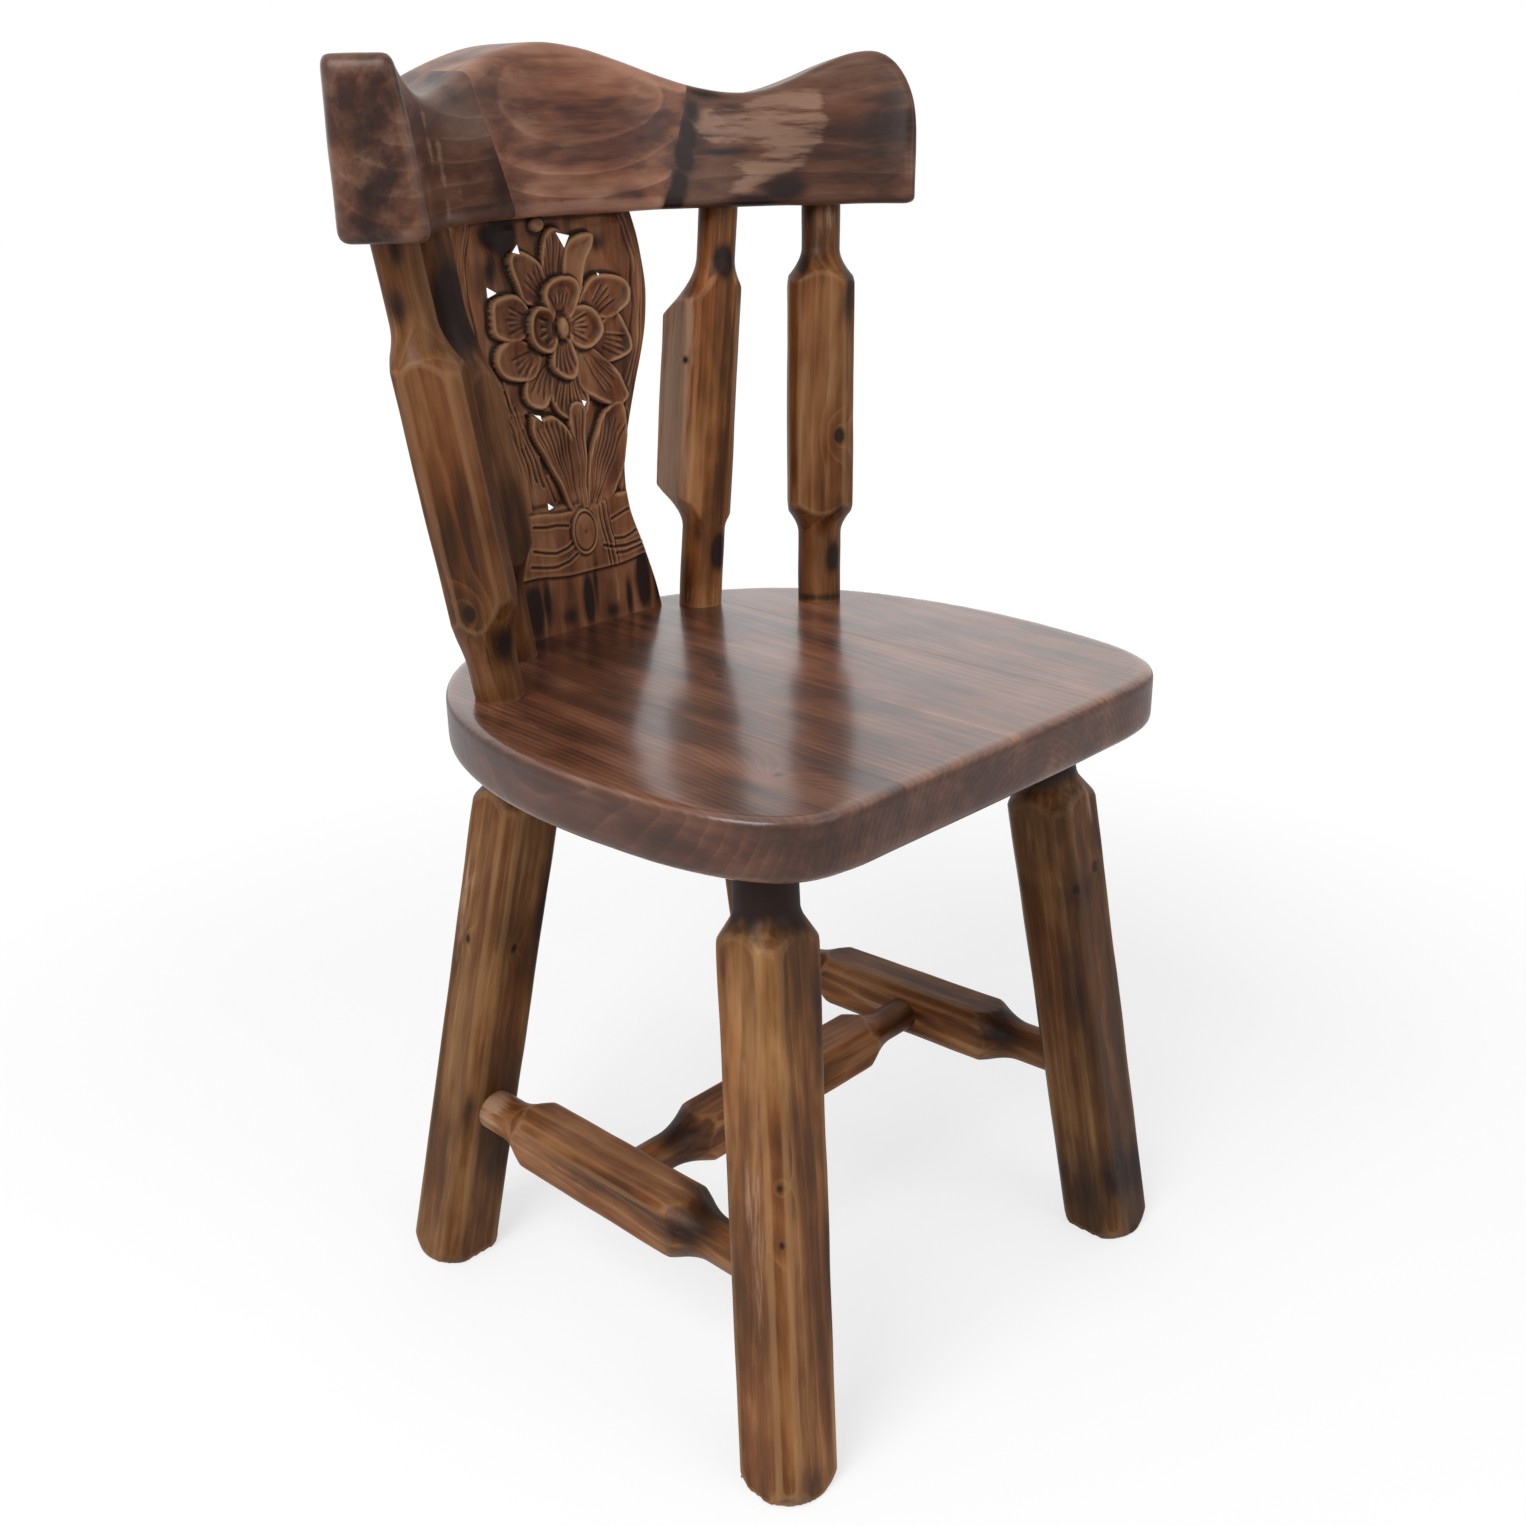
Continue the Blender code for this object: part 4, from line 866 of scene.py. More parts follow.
# Splat: a pierced board carved with a flower over leaves that a buckled belt ties.
# Its carving is drawn in millimetres: across from the chair's middle, then up from the seat.
# Each petal or leaf: outline, point that its strokes leave from, height there and at the far end,
# dish, rim, stroke angles in degrees, where the strokes start and stop, their depth
back_petals = (
    (((-19, 250), (-19, 264), (-15, 279), (-8, 286), (1, 283), (4, 270), (1, 254)), (-8, 225), 0.6, 1.8,
     0.5, 0.3, (82, 89, 95, 101, 107), 27, 60, 0.9),
    (((-2, 225), (-1, 248), (1, 263), (5, 274), (14, 279), (24, 281), (31, 279), (29, 270), (23, 261),
     (18, 250), (15, 238)), (2, 222), 2.4, 3.6, 0.9, 0.3, (52, 59), 18, 36, 0.7),
    (((-15, 232), (-35, 235), (-42, 247), (-46, 260), (-45, 270), (-36, 272), (-27, 268), (-19, 261),
     (-14, 248)), (-12, 232), 0.8, 2.8, 0.8, 0.9, (112, 121, 130, 139), 12, 34, 0.8),
    (((-34, 234), (-44, 243), (-57, 243), (-66, 239), (-68, 228), (-67, 216), (-54, 211), (-40, 212),
     (-33, 222)), (-30, 224), 0.4, 3.2, 1.2, 0.8, (152, 163, 174, 185, 197), 7, 26, 0.8),
    (((-30, 206), (-42, 212), (-56, 213), (-66, 208), (-68, 197), (-61, 187), (-47, 183), (-34, 185),
     (-27, 196)), (-27, 205), 0.4, 3, 1.1, 0.7, (192, 203, 214, 225), 8, 30, 0.8),
    (((-22, 200), (-34, 196), (-43, 188), (-47, 176), (-43, 166), (-32, 162), (-24, 168), (-18, 182)),
     (-17, 200), 0.2, 2.6, 0.6, 0.5, (226, 236, 246, 256), 6, 36, 0.9),
    (((-18, 186), (-24, 172), (-18, 158), (-6, 151), (6, 154), (12, 165), (10, 178), (2, 188)), (-6, 206),
     0, 2, 0.4, 0.3, (250, 260, 270, 280, 290), 22, 52, 1),
    (((10, 230), (18, 244), (29, 251), (43, 251), (55, 247), (61, 240), (59, 230), (50, 223), (38, 219),
     (22, 222)), (6, 214), 0.8, 3.6, 1.3, 0.9, (24, 31, 38, 45), 25, 46, 1.1),
    (((14, 208), (26, 216), (38, 223), (47, 225), (54, 214), (59, 204), (57, 195), (47, 190), (34, 188),
     (20, 194)), (5, 213), 0.8, 3.3, 1.1, 0.8, (-9, -15, -21, -27), 27, 50, 1.1),
    (((4, 206), (18, 202), (32, 192), (41, 184), (48, 172), (50, 163), (42, 157), (30, 158), (16, 165),
     (4, 176)), (2, 210), 1, 3.2, 0.7, 0.6, (-36, -44, -52, -60), 16, 54, 0.7),
)
front_petals = (
    (((-9, 222), (-17, 230), (-21, 238), (-19, 246), (-12, 251), (-3, 253), (6, 252), (12, 247), (14, 239),
     (10, 230), (2, 222)), (-5, 220), 3.4, 6.6, 1.9, 1, (68, 80, 92, 104, 117), 6, 24, 1.1),
    (((-10, 225), (-17, 232), (-26, 234), (-34, 229), (-37, 220), (-35, 210), (-29, 203), (-20, 200),
     (-13, 205), (-8, 213)), (-5, 218), 3.2, 6.4, 2.6, 1.3, (158, 176, 194, 212), 11, 23, 1.3),
    (((-1, 222), (6, 230), (14, 232), (23, 229), (30, 221), (32, 212), (27, 205), (17, 200), (8, 201),
     (0, 208)), (-5, 217), 3.2, 6.2, 1.8, 0.9, (18, 7, -4, -15, -28), 7, 26, 1.2),
    (((-10, 212), (-17, 204), (-20, 196), (-18, 188), (-11, 182), (-3, 180), (3, 184), (6, 193), (4, 203),
     (-1, 211)), (-4, 218), 3, 6.4, 1.5, 0.9, (246, 256, 265, 274, 283), 8, 35, 1.2),
)
leaves = (
    (((-41, 161), (-44, 150), (-40, 138), (-33, 125), (-26, 111), (-20, 98), (-16, 87), (-4, 87), (-4, 104),
     (-3, 120), (-6, 136), (-13, 149), (-24, 158), (-33, 157)), (-6, 78), 1.2, 3.4, 1.4, 0.7,
     (96, 102, 108, 114, 120), 12, 84, 0.9),
    (((40, 161), (45, 149), (45, 134), (41, 117), (34, 103), (26, 92), (14, 87), (1, 87), (2, 102),
     (4, 116), (9, 130), (16, 144), (25, 155)), (2, 76), 1.2, 3.4, 1.3, 0.7, (86, 79, 72, 65, 58), 12, 84,
     0.9),
    (((-5, 164), (-9, 150), (-6, 130), (-5, 108), (-5, 87), (1, 87), (2, 110), (5, 130), (7, 150),
     (5, 163)), (-2, 60), 3, 3.2, -0.8, 0.4, (87, 91), 26, 100, 0.8),
)
# Incised lines of the belt: points, then depth
belt_lines = (
    (((-54, 81), (-42, 79), (-33, 79), (-22, 77)), 1.3), (((20, 75), (27, 77), (34, 79), (46, 82)), 1.3),
    (((20, 60), (30, 59), (38, 61), (50, 66)), 1.3),
    (((-56, 64), (-46, 61), (-36, 59), (-25, 61), (-19, 64)), 1.5),
    (((9, 57), (18, 54), (30, 53), (42, 54), (58, 58)), 1.4),
    (((-60, 53), (-46, 50), (-37, 49), (-25, 51), (-17, 55)), 1.3),
    (((20, 49), (30, 48), (42, 50), (56, 53)), 1),
)
# Long strokes down the ground and the rims
ground_lines = (
    (((-46, 160), (-40, 140), (-33, 116)), 0.9), (((-50, 150), (-44, 132), (-37, 108)), 0.9),
    (((-54, 166), (-50, 140), (-42, 112)), 0.8), (((-38, 128), (-32, 106), (-28, 96)), 0.9),
    (((-62, 178), (-56, 160), (-52, 140)), 0.9), (((-66, 196), (-61, 178), (-58, 160)), 0.8),
    (((46, 152), (47, 136), (43, 116)), 0.8), (((40, 110), (38, 100), (36, 94)), 0.7),
)
# Pierced holes, as the corners of their outlines
pierced_holes = (
    ((-4, 283), (9, 280), (3, 271)), ((-45, 271), (-39, 277), (-37, 269)),
    ((-70, 250), (-61, 245), (-70, 242)), ((30, 253), (33, 252), (32, 249)), ((4, 165), (9, 163), (6, 159)),
    ((-44, 161), (-35, 158), (-33, 152)), ((-38, 96), (-31, 91), (-38, 89)),
)
ground_depth = 3.0
# The outlines above are as they stand over the board's face when seen from the chair's front right
view_slant = 0.82
view_drop = 0.07
gouge_reach = 0.022


def closed_curve(corners):
    """A smooth closed line through the corners of an outline."""
    ring = [corners[-1]] + list(corners) + [corners[0], corners[1]]
    curve = smooth_between(ring, 3)
    return [(point.x, point.y) for point in curve[3:-4]]


def distance_to(across, up, start, end):
    """Distance from a straight line between two points."""
    run_x, run_y = end[0] - start[0], end[1] - start[1]
    length = max(run_x ** 2 + run_y ** 2, 0.000001)
    run = np.clip(((across - start[0]) * run_x + (up - start[1]) * run_y) / length, 0, 1)
    return np.hypot(across - start[0] - run * run_x, up - start[1] - run * run_y)


def inside_distance(across, up, outline):
    """Distance from an outline: above zero inside it, below zero outside."""
    nearest = np.full(across.shape, 1000.0)
    inside = np.zeros(across.shape, dtype=bool)
    for (x0, y0), (x1, y1) in zip(outline, outline[1:] + outline[:1]):
        nearest = np.minimum(nearest, distance_to(across, up, (x0, y0), (x1, y1)))
        if y0 != y1:
            crossed = (y0 > up) != (y1 > up)
            inside ^= crossed & (across < (x1 - x0) * (up - y0) / (y1 - y0) + x0)
    return np.where(inside, nearest, -nearest)


def eased(value, low, high):
    """A smooth step from 0 at low to 1 at high."""
    share = np.clip((value - low) / (high - low), 0, 1)
    return share * share * (3 - 2 * share)


def carved_petal(across, up, outline, foot, foot_height, tip_height, dish, rim, angles, first, last, depth):
    """Height of one petal or leaf, or far below the board outside its outline."""
    across = across + view_slant * (foot_height + tip_height) / 2
    curve = closed_curve(outline)
    edge = inside_distance(across, up, curve)
    out_x, out_y = across - foot[0], up - foot[1]
    reach = max(math.dist(foot, corner) for corner in curve)
    run = np.clip(np.hypot(out_x, out_y) / reach, 0, 1)
    height = foot_height + (tip_height - foot_height) * run
    height = height - dish * eased(edge, 1.8, 8.0) + 0.6 * rim * np.exp(-((edge - 1.7) / 1.2) ** 2)
    cuts = [(degrees, last, depth) for degrees in angles]
    cuts += [((one + two) / 2, last - 5, depth * 0.55) for one, two in zip(angles, angles[1:])]
    for number, (degrees, last, depth) in enumerate(cuts):
        turn = math.radians(degrees)
        ahead = out_x * math.cos(turn) + out_y * math.sin(turn)
        aside = out_y * math.cos(turn) - out_x * math.sin(turn)
        stop = last - (2.5 if number % 2 else 0.0)
        window = eased(ahead, first, first + 3) * (1 - eased(ahead, stop - 5, stop)) * eased(edge, 0.8, 2.6)
        cut = -depth * np.exp(-(aside / 0.75) ** 2) + 0.55 * depth * np.exp(-((aside - 1.7) / 0.75) ** 2)
        height = height + cut * window
    return np.where(edge > 0, -ground_depth + (height + ground_depth) * eased(edge, -0.2, 1.0), -20.0)


def incised(across, up, points, depth):
    """An incised line with a small lip beside it."""
    nearest = np.full(across.shape, 50.0)
    for start, end in zip(points, points[1:]):
        nearest = np.minimum(nearest, distance_to(across, up, start, end))
    return -depth * np.exp(-(nearest / 0.85) ** 2) + 0.45 * depth * np.exp(-((nearest - 1.9) / 0.8) ** 2)


def carved_ground(across, up, edge):
    """The ground, cut away inside a raised rim, and the long strokes down both rims."""
    inside = eased(edge, 7, 14) * eased(up, 150, 166) * (1 - eased(up, 291, 295))
    inside = np.maximum(inside, eased(edge, 5, 9) * eased(up, 90, 95) * (1 - eased(up, 158, 172)))
    deep = 2.6 * np.exp(-((across + 52) / 14) ** 2 - ((up - 282) / 13) ** 2)
    deep += 2.6 * np.exp(-((across - 36) / 9) ** 2 - ((up - 273) / 9) ** 2)
    ground = -(ground_depth + deep) * inside
    wave = np.sin(up / 11.0) * 1.1 + np.sin(up / 4.7) * 0.3
    rim_window = eased(up, 96, 120) * (1 - eased(up, 288, 294))
    for number, place in enumerate((3.4, 6.2, 9.4, 12.6)):
        broken = 0.55 + 0.45 * np.sin(up / 17.0 + number * 2.1)
        ground = ground - 0.8 * np.exp(-((edge - place - wave) / 0.75) ** 2) * rim_window * broken
        ground = ground + 0.4 * np.exp(-((edge - place - wave - 1.6) / 0.75) ** 2) * rim_window * broken
    for points, depth in ground_lines:
        ground = ground + incised(across, up, points, depth)
    return ground


def with_flower(across, up, height):
    """The leaves and the petals, one over the other."""
    for blade in leaves:
        height = np.maximum(height, carved_petal(across, up, *blade))
    for number, blade in enumerate(back_petals):
        height = np.maximum(height, carved_petal(across, up, *blade) - 0.25 * (number % 3))
    for blade in front_petals:
        height = np.maximum(height, carved_petal(across, up, *blade))
    return height


def with_seed_head(across, up, height):
    """The seed head in its dark hollow, and a curled bud by the top edge."""
    oval = ((across + 9.0) / 4.6) ** 2 + ((up - 217) / 7.4) ** 2
    height = height - 1.6 * np.exp(-((np.sqrt(oval) - 1.35) / 0.35) ** 2)
    height = np.where(oval < 1, np.maximum(height, 3.4 + 4.0 * np.sqrt(np.maximum(1 - oval, 0))), height)
    bud = 1 - ((across + 19) / 6.0) ** 2 - ((up - 288) / 5.0) ** 2
    return np.where(bud > 0, np.maximum(height, -1.0 + 3.4 * np.sqrt(np.maximum(bud, 0))), height)


def with_belt(across, up, height):
    """The belt, its strap folded over beside the buckle."""
    top = 87.0 + 6.0 * eased(across, 4, 26) + 2.5 * eased(-across, 25, 50)
    bottom = 40.5 + 4.0 * eased(np.abs(across), 20, 60)
    strap = eased(up, bottom - 0.9, bottom + 0.5) * (1 - eased(up, top - 0.5, top + 0.9))
    strap_height = 2.2 - 0.9 * eased(up, 60, 68) * (1 - eased(up, 78, 86))
    for points, depth in belt_lines:
        strap_height = strap_height + incised(across, up, points, depth)
    for middle, depth in ((8.0, 0.8), (11.5, 0.8), (16.0, 1.2)):
        lean = middle + (87 - up) * 0.14
        strap_height = strap_height - depth * np.exp(-((across - lean) / 0.8) ** 2)
        strap_height = strap_height + depth * np.exp(-((across - lean + 1.9) / 1.1) ** 2)
    return np.where(strap > 0, height * (1 - strap) + np.maximum(strap_height, -0.2) * strap, height)


def with_buckle(across, up, height):
    """The buckle: a domed oval inside a raised ring."""
    oval = np.sqrt(((across + 8.4) / 11.8) ** 2 + ((up - 70.5) / 17.0) ** 2)
    dome = 3.4 + 2.0 * np.sqrt(np.clip(1 - (oval / 0.80) ** 2, 0, 1)) - 0.9 * np.exp(-(oval / 0.14) ** 2)
    ring = 4.6 * np.exp(-((oval - 0.93) / 0.10) ** 2)
    inner = np.where(oval < 0.79, dome, np.maximum(ring, 2.2))
    return np.where(oval < 1.0, inner, np.where(oval < 1.14, np.maximum(ring, height), height))


def carving(across, up, edge):
    """Height of the carving over the board's face. The knife left broad facets across the petals."""
    height = with_flower(across, up, carved_ground(across, up, edge))
    facets = 0.75 * np.sin(across / 5.3 + up / 8.1) + 0.55 * np.sin(up / 4.9 - across / 7.7 + 1.3)
    height = height + facets * eased(up, 92, 104) * (1 - eased(up, 284, 292)) * eased(edge, 6, 12)
    return with_buckle(across, up, with_belt(across, up, with_seed_head(across, up, height)))


def splat_half_width(height):
    """Half of the splat's width at a height along it, in metres."""
    curve = np.array([(point.x, point.y) for point in smooth_between(splat_outline_shares, 4)])
    return np.interp(np.clip(height / splat_length, 0, 1), curve[:, 0], curve[:, 1]) * splat_width / 2


def carving_stain_wear_and_painted_light(splat, relief, wide):
    """Marks the hollows of the carving, where stain gathers and painted shade darkens them, and its ridges,
    where it wears off and a painted highlight lightens them.
    """
    rows, columns = relief.shape
    hollow = np.zeros((rows, wide))
    raised = np.zeros((rows, wide))
    for passes, strength in ((2, 1.1), (9, 0.17)):
        level = relief.copy()
        for _ in range(passes):
            padded = np.pad(level, 2, mode="edge")
            level = sum(padded[a:a + rows, b:b + columns] for a in (0, 2, 4) for b in (0, 2, 4)) / 9
        difference = (relief - level) * 1000
        hollow[:, :columns] += np.clip(-difference * strength - 0.06, 0, 1)
        raised[:, :columns] += np.clip(difference * strength - 0.08, 0, 1)
    keep(splat, "hollow", np.clip(hollow, 0, 1).ravel())
    keep(splat, "raised", np.clip(raised, 0, 1).ravel())


def pierce(splat, corners):
    """Cuts one hole right through the splat, along the line that it is seen through."""
    count = len(corners)
    points = []
    for behind in (-gouge_reach, gouge_reach):
        run = behind + splat_thickness / 2
        points += [
            (a / 1000 + splat_off_centre + view_slant * run, behind, b / 1000 - view_drop * run)
            for a, b in corners]
    sides = [(i, (i + 1) % count, count + (i + 1) % count, count + i) for i in range(count)]
    shape = bpy.data.meshes.new("gouge")
    shape.from_pydata(points, [], sides + [tuple(range(count)), tuple(range(count, 2 * count))])
    tool = bpy.data.objects.new("gouge", shape)
    bpy.context.scene.collection.objects.link(tool)
    open_whole(tool)
    close_edit(tool)
    cut_with(splat, tool, "DIFFERENCE", "MANIFOLD")


def make_splat(name, rows=386, columns=230, back_columns=16):
    """The board with its carved face as a fine mesh and a plain back, pierced right through."""
    placement = along(splat_foot + chair_shift, splat_top + chair_shift, Vector((1, 0, 0)))
    heights = np.linspace(-splat_sunk, splat_length + splat_sunk, rows)
    half = splat_half_width(heights)
    run = np.linspace(-1, 1, columns)
    back_run = np.linspace(-1, 1, back_columns)

    def rounding(distance):
        share = np.clip(1 - distance / splat_edge_round, 0, 1)
        return splat_edge_round * (1 - np.sqrt(1 - share ** 2))

    x = half[:, None] * run[None, :]
    z = np.repeat(heights[:, None], columns, axis=1)
    edge = half[:, None] - np.abs(x)
    relief = carving((x - splat_off_centre) * 1000, z * 1000, edge * 1000) / 1000
    relief = relief * eased(edge, 0.0005, 0.004)
    y = -splat_thickness / 2 - relief + rounding(edge) * 0.9
    back_x = half[:, None] * back_run[None, ::-1]
    back_y = splat_thickness / 2 - rounding(half[:, None] - np.abs(back_x)) * 0.9
    back_z = np.repeat(heights[:, None], back_columns, axis=1)
    wide = columns + back_columns
    places = np.stack([
        np.concatenate([x, back_x], axis=1), np.concatenate([y, back_y], axis=1),
        np.concatenate([z, back_z], axis=1)], axis=2).reshape(-1, 3)
    faces = []
    for row in range(rows - 1):
        for column in range(wide):
            following = (column + 1) % wide
            faces.append((row * wide + column, row * wide + following, (row + 1) * wide + following,
                          (row + 1) * wide + column))
    faces.append(tuple(reversed(range(wide))))
    faces.append(tuple(range((rows - 1) * wide, rows * wide)))
    mesh = bpy.data.meshes.new(name)
    mesh.from_pydata(places.tolist(), [], faces)
    splat = bpy.data.objects.new(name, mesh)
    bpy.context.scene.collection.objects.link(splat)
    carving_stain_wear_and_painted_light(splat, relief, wide)
    open_whole(splat)
    close_edit(splat)
    for corners in pierced_holes:
        pierce(splat, corners)
    take(splat)
    bpy.ops.object.shade_smooth()
    splat.matrix_world = placement
    settle(splat)
    return splat, placement


# The pieces. Marks are in millimetres: (middle, reach, strength) of each scorched or pale spot,
# (middle, radius) of each knot and (middle, reach, amount) of each swell in the growth rings.
# A share of lightness, and where the pith lies across and behind a piece's axis, set its wood apart.
leg_marks = {
    "leg_front_right": dict(
        scorched=[
            ((0, 0, 412), (90, 90, 36), 1.9), ((12, -30, 300), (10, 20, 75), 0.62),
            ((-30, 12, 340), (20, 8, 35), 0.62), ((-30, 18, 200), (20, 7, 100), 0.5),
            ((16, -30, 140), (8, 20, 70), 0.5), ((0, -30, 10), (30, 20, 18), 0.55),
        ],
        pale=[((-30, -6, 190), (12, 12, 160), 0.5)],
        knots=[((-22, -24, 215), 3), ((-22, -24, 178), 2.6)]),
    "leg_front_left": dict(
        scorched=[
            ((0, 0, 409), (90, 90, 32), 1.7), ((-30, -10, 330), (20, 20, 70), 0.55),
            ((0, 0, 300), (90, 90, 20), 0.55), ((0, 0, 55), (90, 90, 45), 0.7),
            ((14, -30, 330), (10, 20, 50), 0.6), ((-26, -20, 220), (20, 12, 100), 0.5),
        ],
        pale=[((10, -30, 360), (12, 20, 35), 0.5)],
        knots=[((-18, -26, 302), 4.2), ((6, -27, 310), 4.2), ((-12, -26, 65), 4), ((20, -26, 65), 3.5)]),
    "leg_back_right": dict(
        scorched=[
            ((0, 0, 408), (90, 90, 22), 0.95), ((20, -30, 300), (14, 20, 100), 0.75),
            ((-26, -22, 130), (10, 10, 30), 0.8), ((10, -30, 100), (30, 20, 100), 0.62),
            ((-30, 12, 100), (20, 6, 120), 0.45), ((-30, -4, 60), (20, 5, 80), 0.5),
        ],
        pale=[((-30, 12, 280), (12, 10, 100), 0.5)],
        knots=[((-27, 2, 262), 3), ((-6, -27, 262), 3.4)]),
    "leg_back_left": dict(
        scorched=[((0, 0, 408), (90, 90, 30), 1), ((0, 0, 130), (90, 90, 30), 0.55)],
        pale=[((-30, 0, 240), (12, 14, 120), 0.45)],
        knots=[((27, 4, 200), 4)]),
}
leg_light_shares = (0.98, 0.60, 0.74, 0.80)
leg_piths = ((0.034, 0.026), (-0.03, 0.03), (0.03, -0.034), (-0.028, -0.03))
stretcher_marks = dict(
    scorched=[
        ((0, 0, 255), (50, 50, 30), 0.75), ((0, -20, 100), (14, 20, 30), 0.55),
        ((20, 0, 160), (20, 12, 50), 0.45),
    ],
    pale=[((0, 0, 35), (50, 50, 20), 0.62), ((-20, 0, 140), (12, 12, 60), 0.4)])
cross_stretcher_marks = dict(
    scorched=[
        ((0, 0, 55), (50, 50, 30), 0.85), ((0, 0, 300), (50, 50, 30), 0.5),
        ((0, 0, 170), (20, 50, 50), 0.5),
    ],
    pale=[((0, 0, 360), (50, 50, 30), 0.5)])
spindle_marks = {
    "spindle_outer_right": dict(
        scorched=[
            ((-20, 6, 255), (20, 10, 16), 1), ((-20, -14, 37), (20, 10, 20), 1.1),
            ((20, 0, 250), (12, 30, 40), 1), ((-14, -2, 288), (20, 5, 14), 0.8),
            ((0, -20, 120), (20, 8, 50), 0.5),
        ],
        # This pale spot is a painted sheen highlight.
        pale=[((-18, -4, 212), (20, 6, 12), 0.4)],
        knots=[((-20, 3, 64), 5.6)]),
    "spindle_inner_right": dict(
        scorched=[((0, -20, 245), (30, 30, 34), 1.4), ((0, 0, 120), (60, 60, 140), 0.48)],
        pale=[((24, -20, 140), (6, 20, 70), 0.35)],
        knots=[]),
    "spindle_inner_left": dict(
        scorched=[
            ((-2, -16, 257), (9, 30, 14), 1.1), ((16, -10, 238), (6, 20, 18), 0.8),
            ((6, -16, 42), (9, 30, 15), 1.3), ((-12, 0, 55), (4, 30, 12), 0.7),
        ],
        # The first pale spot, down this spindle's left face, is a painted sheen.
        pale=[((-31, 4, 150), (10, 30, 120), 0.85), ((0, 0, 5), (50, 50, 22), 0.35)],
        knots=[((-27, -8, 185), 2.8)]),
    "spindle_outer_left": dict(
        scorched=[
            ((20, -15, 225), (7, 20, 30), 0.9), ((10, -14, 34), (6, 20, 14), 1.1),
            ((-14, -14, 252), (6, 20, 12), 0.8), ((0, 0, 3), (30, 30, 4), 0.9),
            ((14, -20, 70), (7, 20, 16), 0.6),
        ],
        pale=[((0, 0, 285), (50, 50, 20), 0.4)],
        knots=[((13, -24.5, 127), 5.2)]),
}
# By spindle: side, then foot spacing, foot from the back, top's distance from the middle and turn in degrees,
# then foot neck, foot shoulder, top neck, top shoulder, set back, set left and width
spindle_tables = (
    ("spindle_outer_right", -1, (0.314, 0.120, 0.190, 44), (0.024, 0.058, 0.054, 0.040, -0.003, 0.0, 0.0425)),
    ("spindle_inner_right", -1, (0.193, 0.057, 0.138, 12), (0.050, 0.042, 0.052, 0.072, 0.001, 0.0, 0.048)),
    ("spindle_inner_left", 1, (0.175, 0.057, 0.128, 12), (0.060, 0.034, 0.039, 0.046, 0.009, -0.005, 0.048)),
    ("spindle_outer_left", 1, (0.314, 0.120, 0.190, 44), (0.053, 0.028, 0.033, 0.031, 0.001, 0.0, 0.049)),
)
spindle_light_shares = (0.66, 0.70, 1.35, 0.78)
spindle_piths = ((0.03, 0.02), (0.02, 0.03), (-0.034, 0.016), (0.03, 0.026))
seat_scorched = [
    ((-110, 30, 460), (35, 90, 30), 0.45), ((20, 30, 460), (30, 100, 30), 0.45),
    ((0, -100, 460), (30, 80, 30), 0.4), ((130, -100, 460), (30, 60, 30), 0.4),
    ((-50, 160, 460), (60, 30, 30), 0.6), ((80, 130, 460), (30, 30, 30), 0.5),
]
seat_pale = [
    ((85, -110, 460), (12, 90, 20), 0.36), ((145, -100, 460), (10, 110, 20), 0.36),
    ((2, -150, 460), (8, 50, 20), 0.3), ((-176, 60, 460), (12, 80, 20), 0.32),
    ((-75, -180, 460), (30, 12, 20), 0.3), ((103, -10, 460), (8, 50, 20), 0.34),
]
seat_knots = [((-138, -144, 460), 3.4), ((-32, 12, 460), 3)]
seat_swells = [((-138, -144, 460), (24, 30, 30), 18)]
# By seat board: its right and left edges, where None is the seat's own edge
board_edges = {
    "seat_board_outer_right": (None, -seat_board_width), "seat_board_inner_right": (-seat_board_width, 0.0),
    "seat_board_inner_left": (0.0, seat_board_width), "seat_board_outer_left": (seat_board_width, None),
}
seat_light_shares = (0.95, 1.05, 1.18, 1.30)
near_end = tuple(1000 * part for part in crest_point(-crest_half_length, crest_end_thickness / 2, 0.045))
crest_scorched = [
    (near_end, (20, 30, 75), 0.64), ((near_end[0], near_end[1], 776), (18, 30, 22), 0.7),
    ((74, 160, 758), (9, 50, 12), 1.3), ((79, 160, 772), (8, 50, 14), 1.2),
    ((84, 160, 788), (8, 50, 14), 1.2), ((89, 160, 804), (7, 50, 14), 1.1),
    ((94, 160, 820), (8, 50, 12), 0.95), ((103, 155, 831), (20, 50, 6), 0.8),
    ((150, 130, 766), (18, 50, 10), 1.2), ((132, 135, 759), (20, 50, 6), 1),
    ((-68, 165, 800), (24, 50, 80), 0.46), ((112, 150, 792), (26, 50, 4), 0.95),
    ((108, 150, 803), (20, 50, 2), 0.6), ((205, 40, 812), (35, 60, 20), 0.62),
    ((200, 60, 800), (30, 50, 30), 0.5), ((175, 90, 845), (30, 50, 8), 0.45),
    ((-120, 120, 833), (20, 50, 14), 0.6), ((-80, 140, 779), (10, 50, 30), 0.5),
    ((-41, 160, 852), (30, 50, 8), 0.5), ((40, 170, 765), (30, 50, 8), 0.62),
    ((52, 165, 800), (10, 50, 10), 0.45), ((-175, 80, 790), (10, 40, 40), 0.55),
    ((-190, 55, 840), (16, 40, 14), 0.55),
]
crest_pale = [
    ((-10, 166, 802), (40, 50, 28), 0.36), ((-45, 160, 815), (30, 50, 14), 0.36),
    ((-150, 115, 785), (7, 50, 34), 0.62), ((-165, 105, 805), (6, 50, 28), 0.6),
    ((-130, 130, 775), (9, 50, 18), 0.5),
]
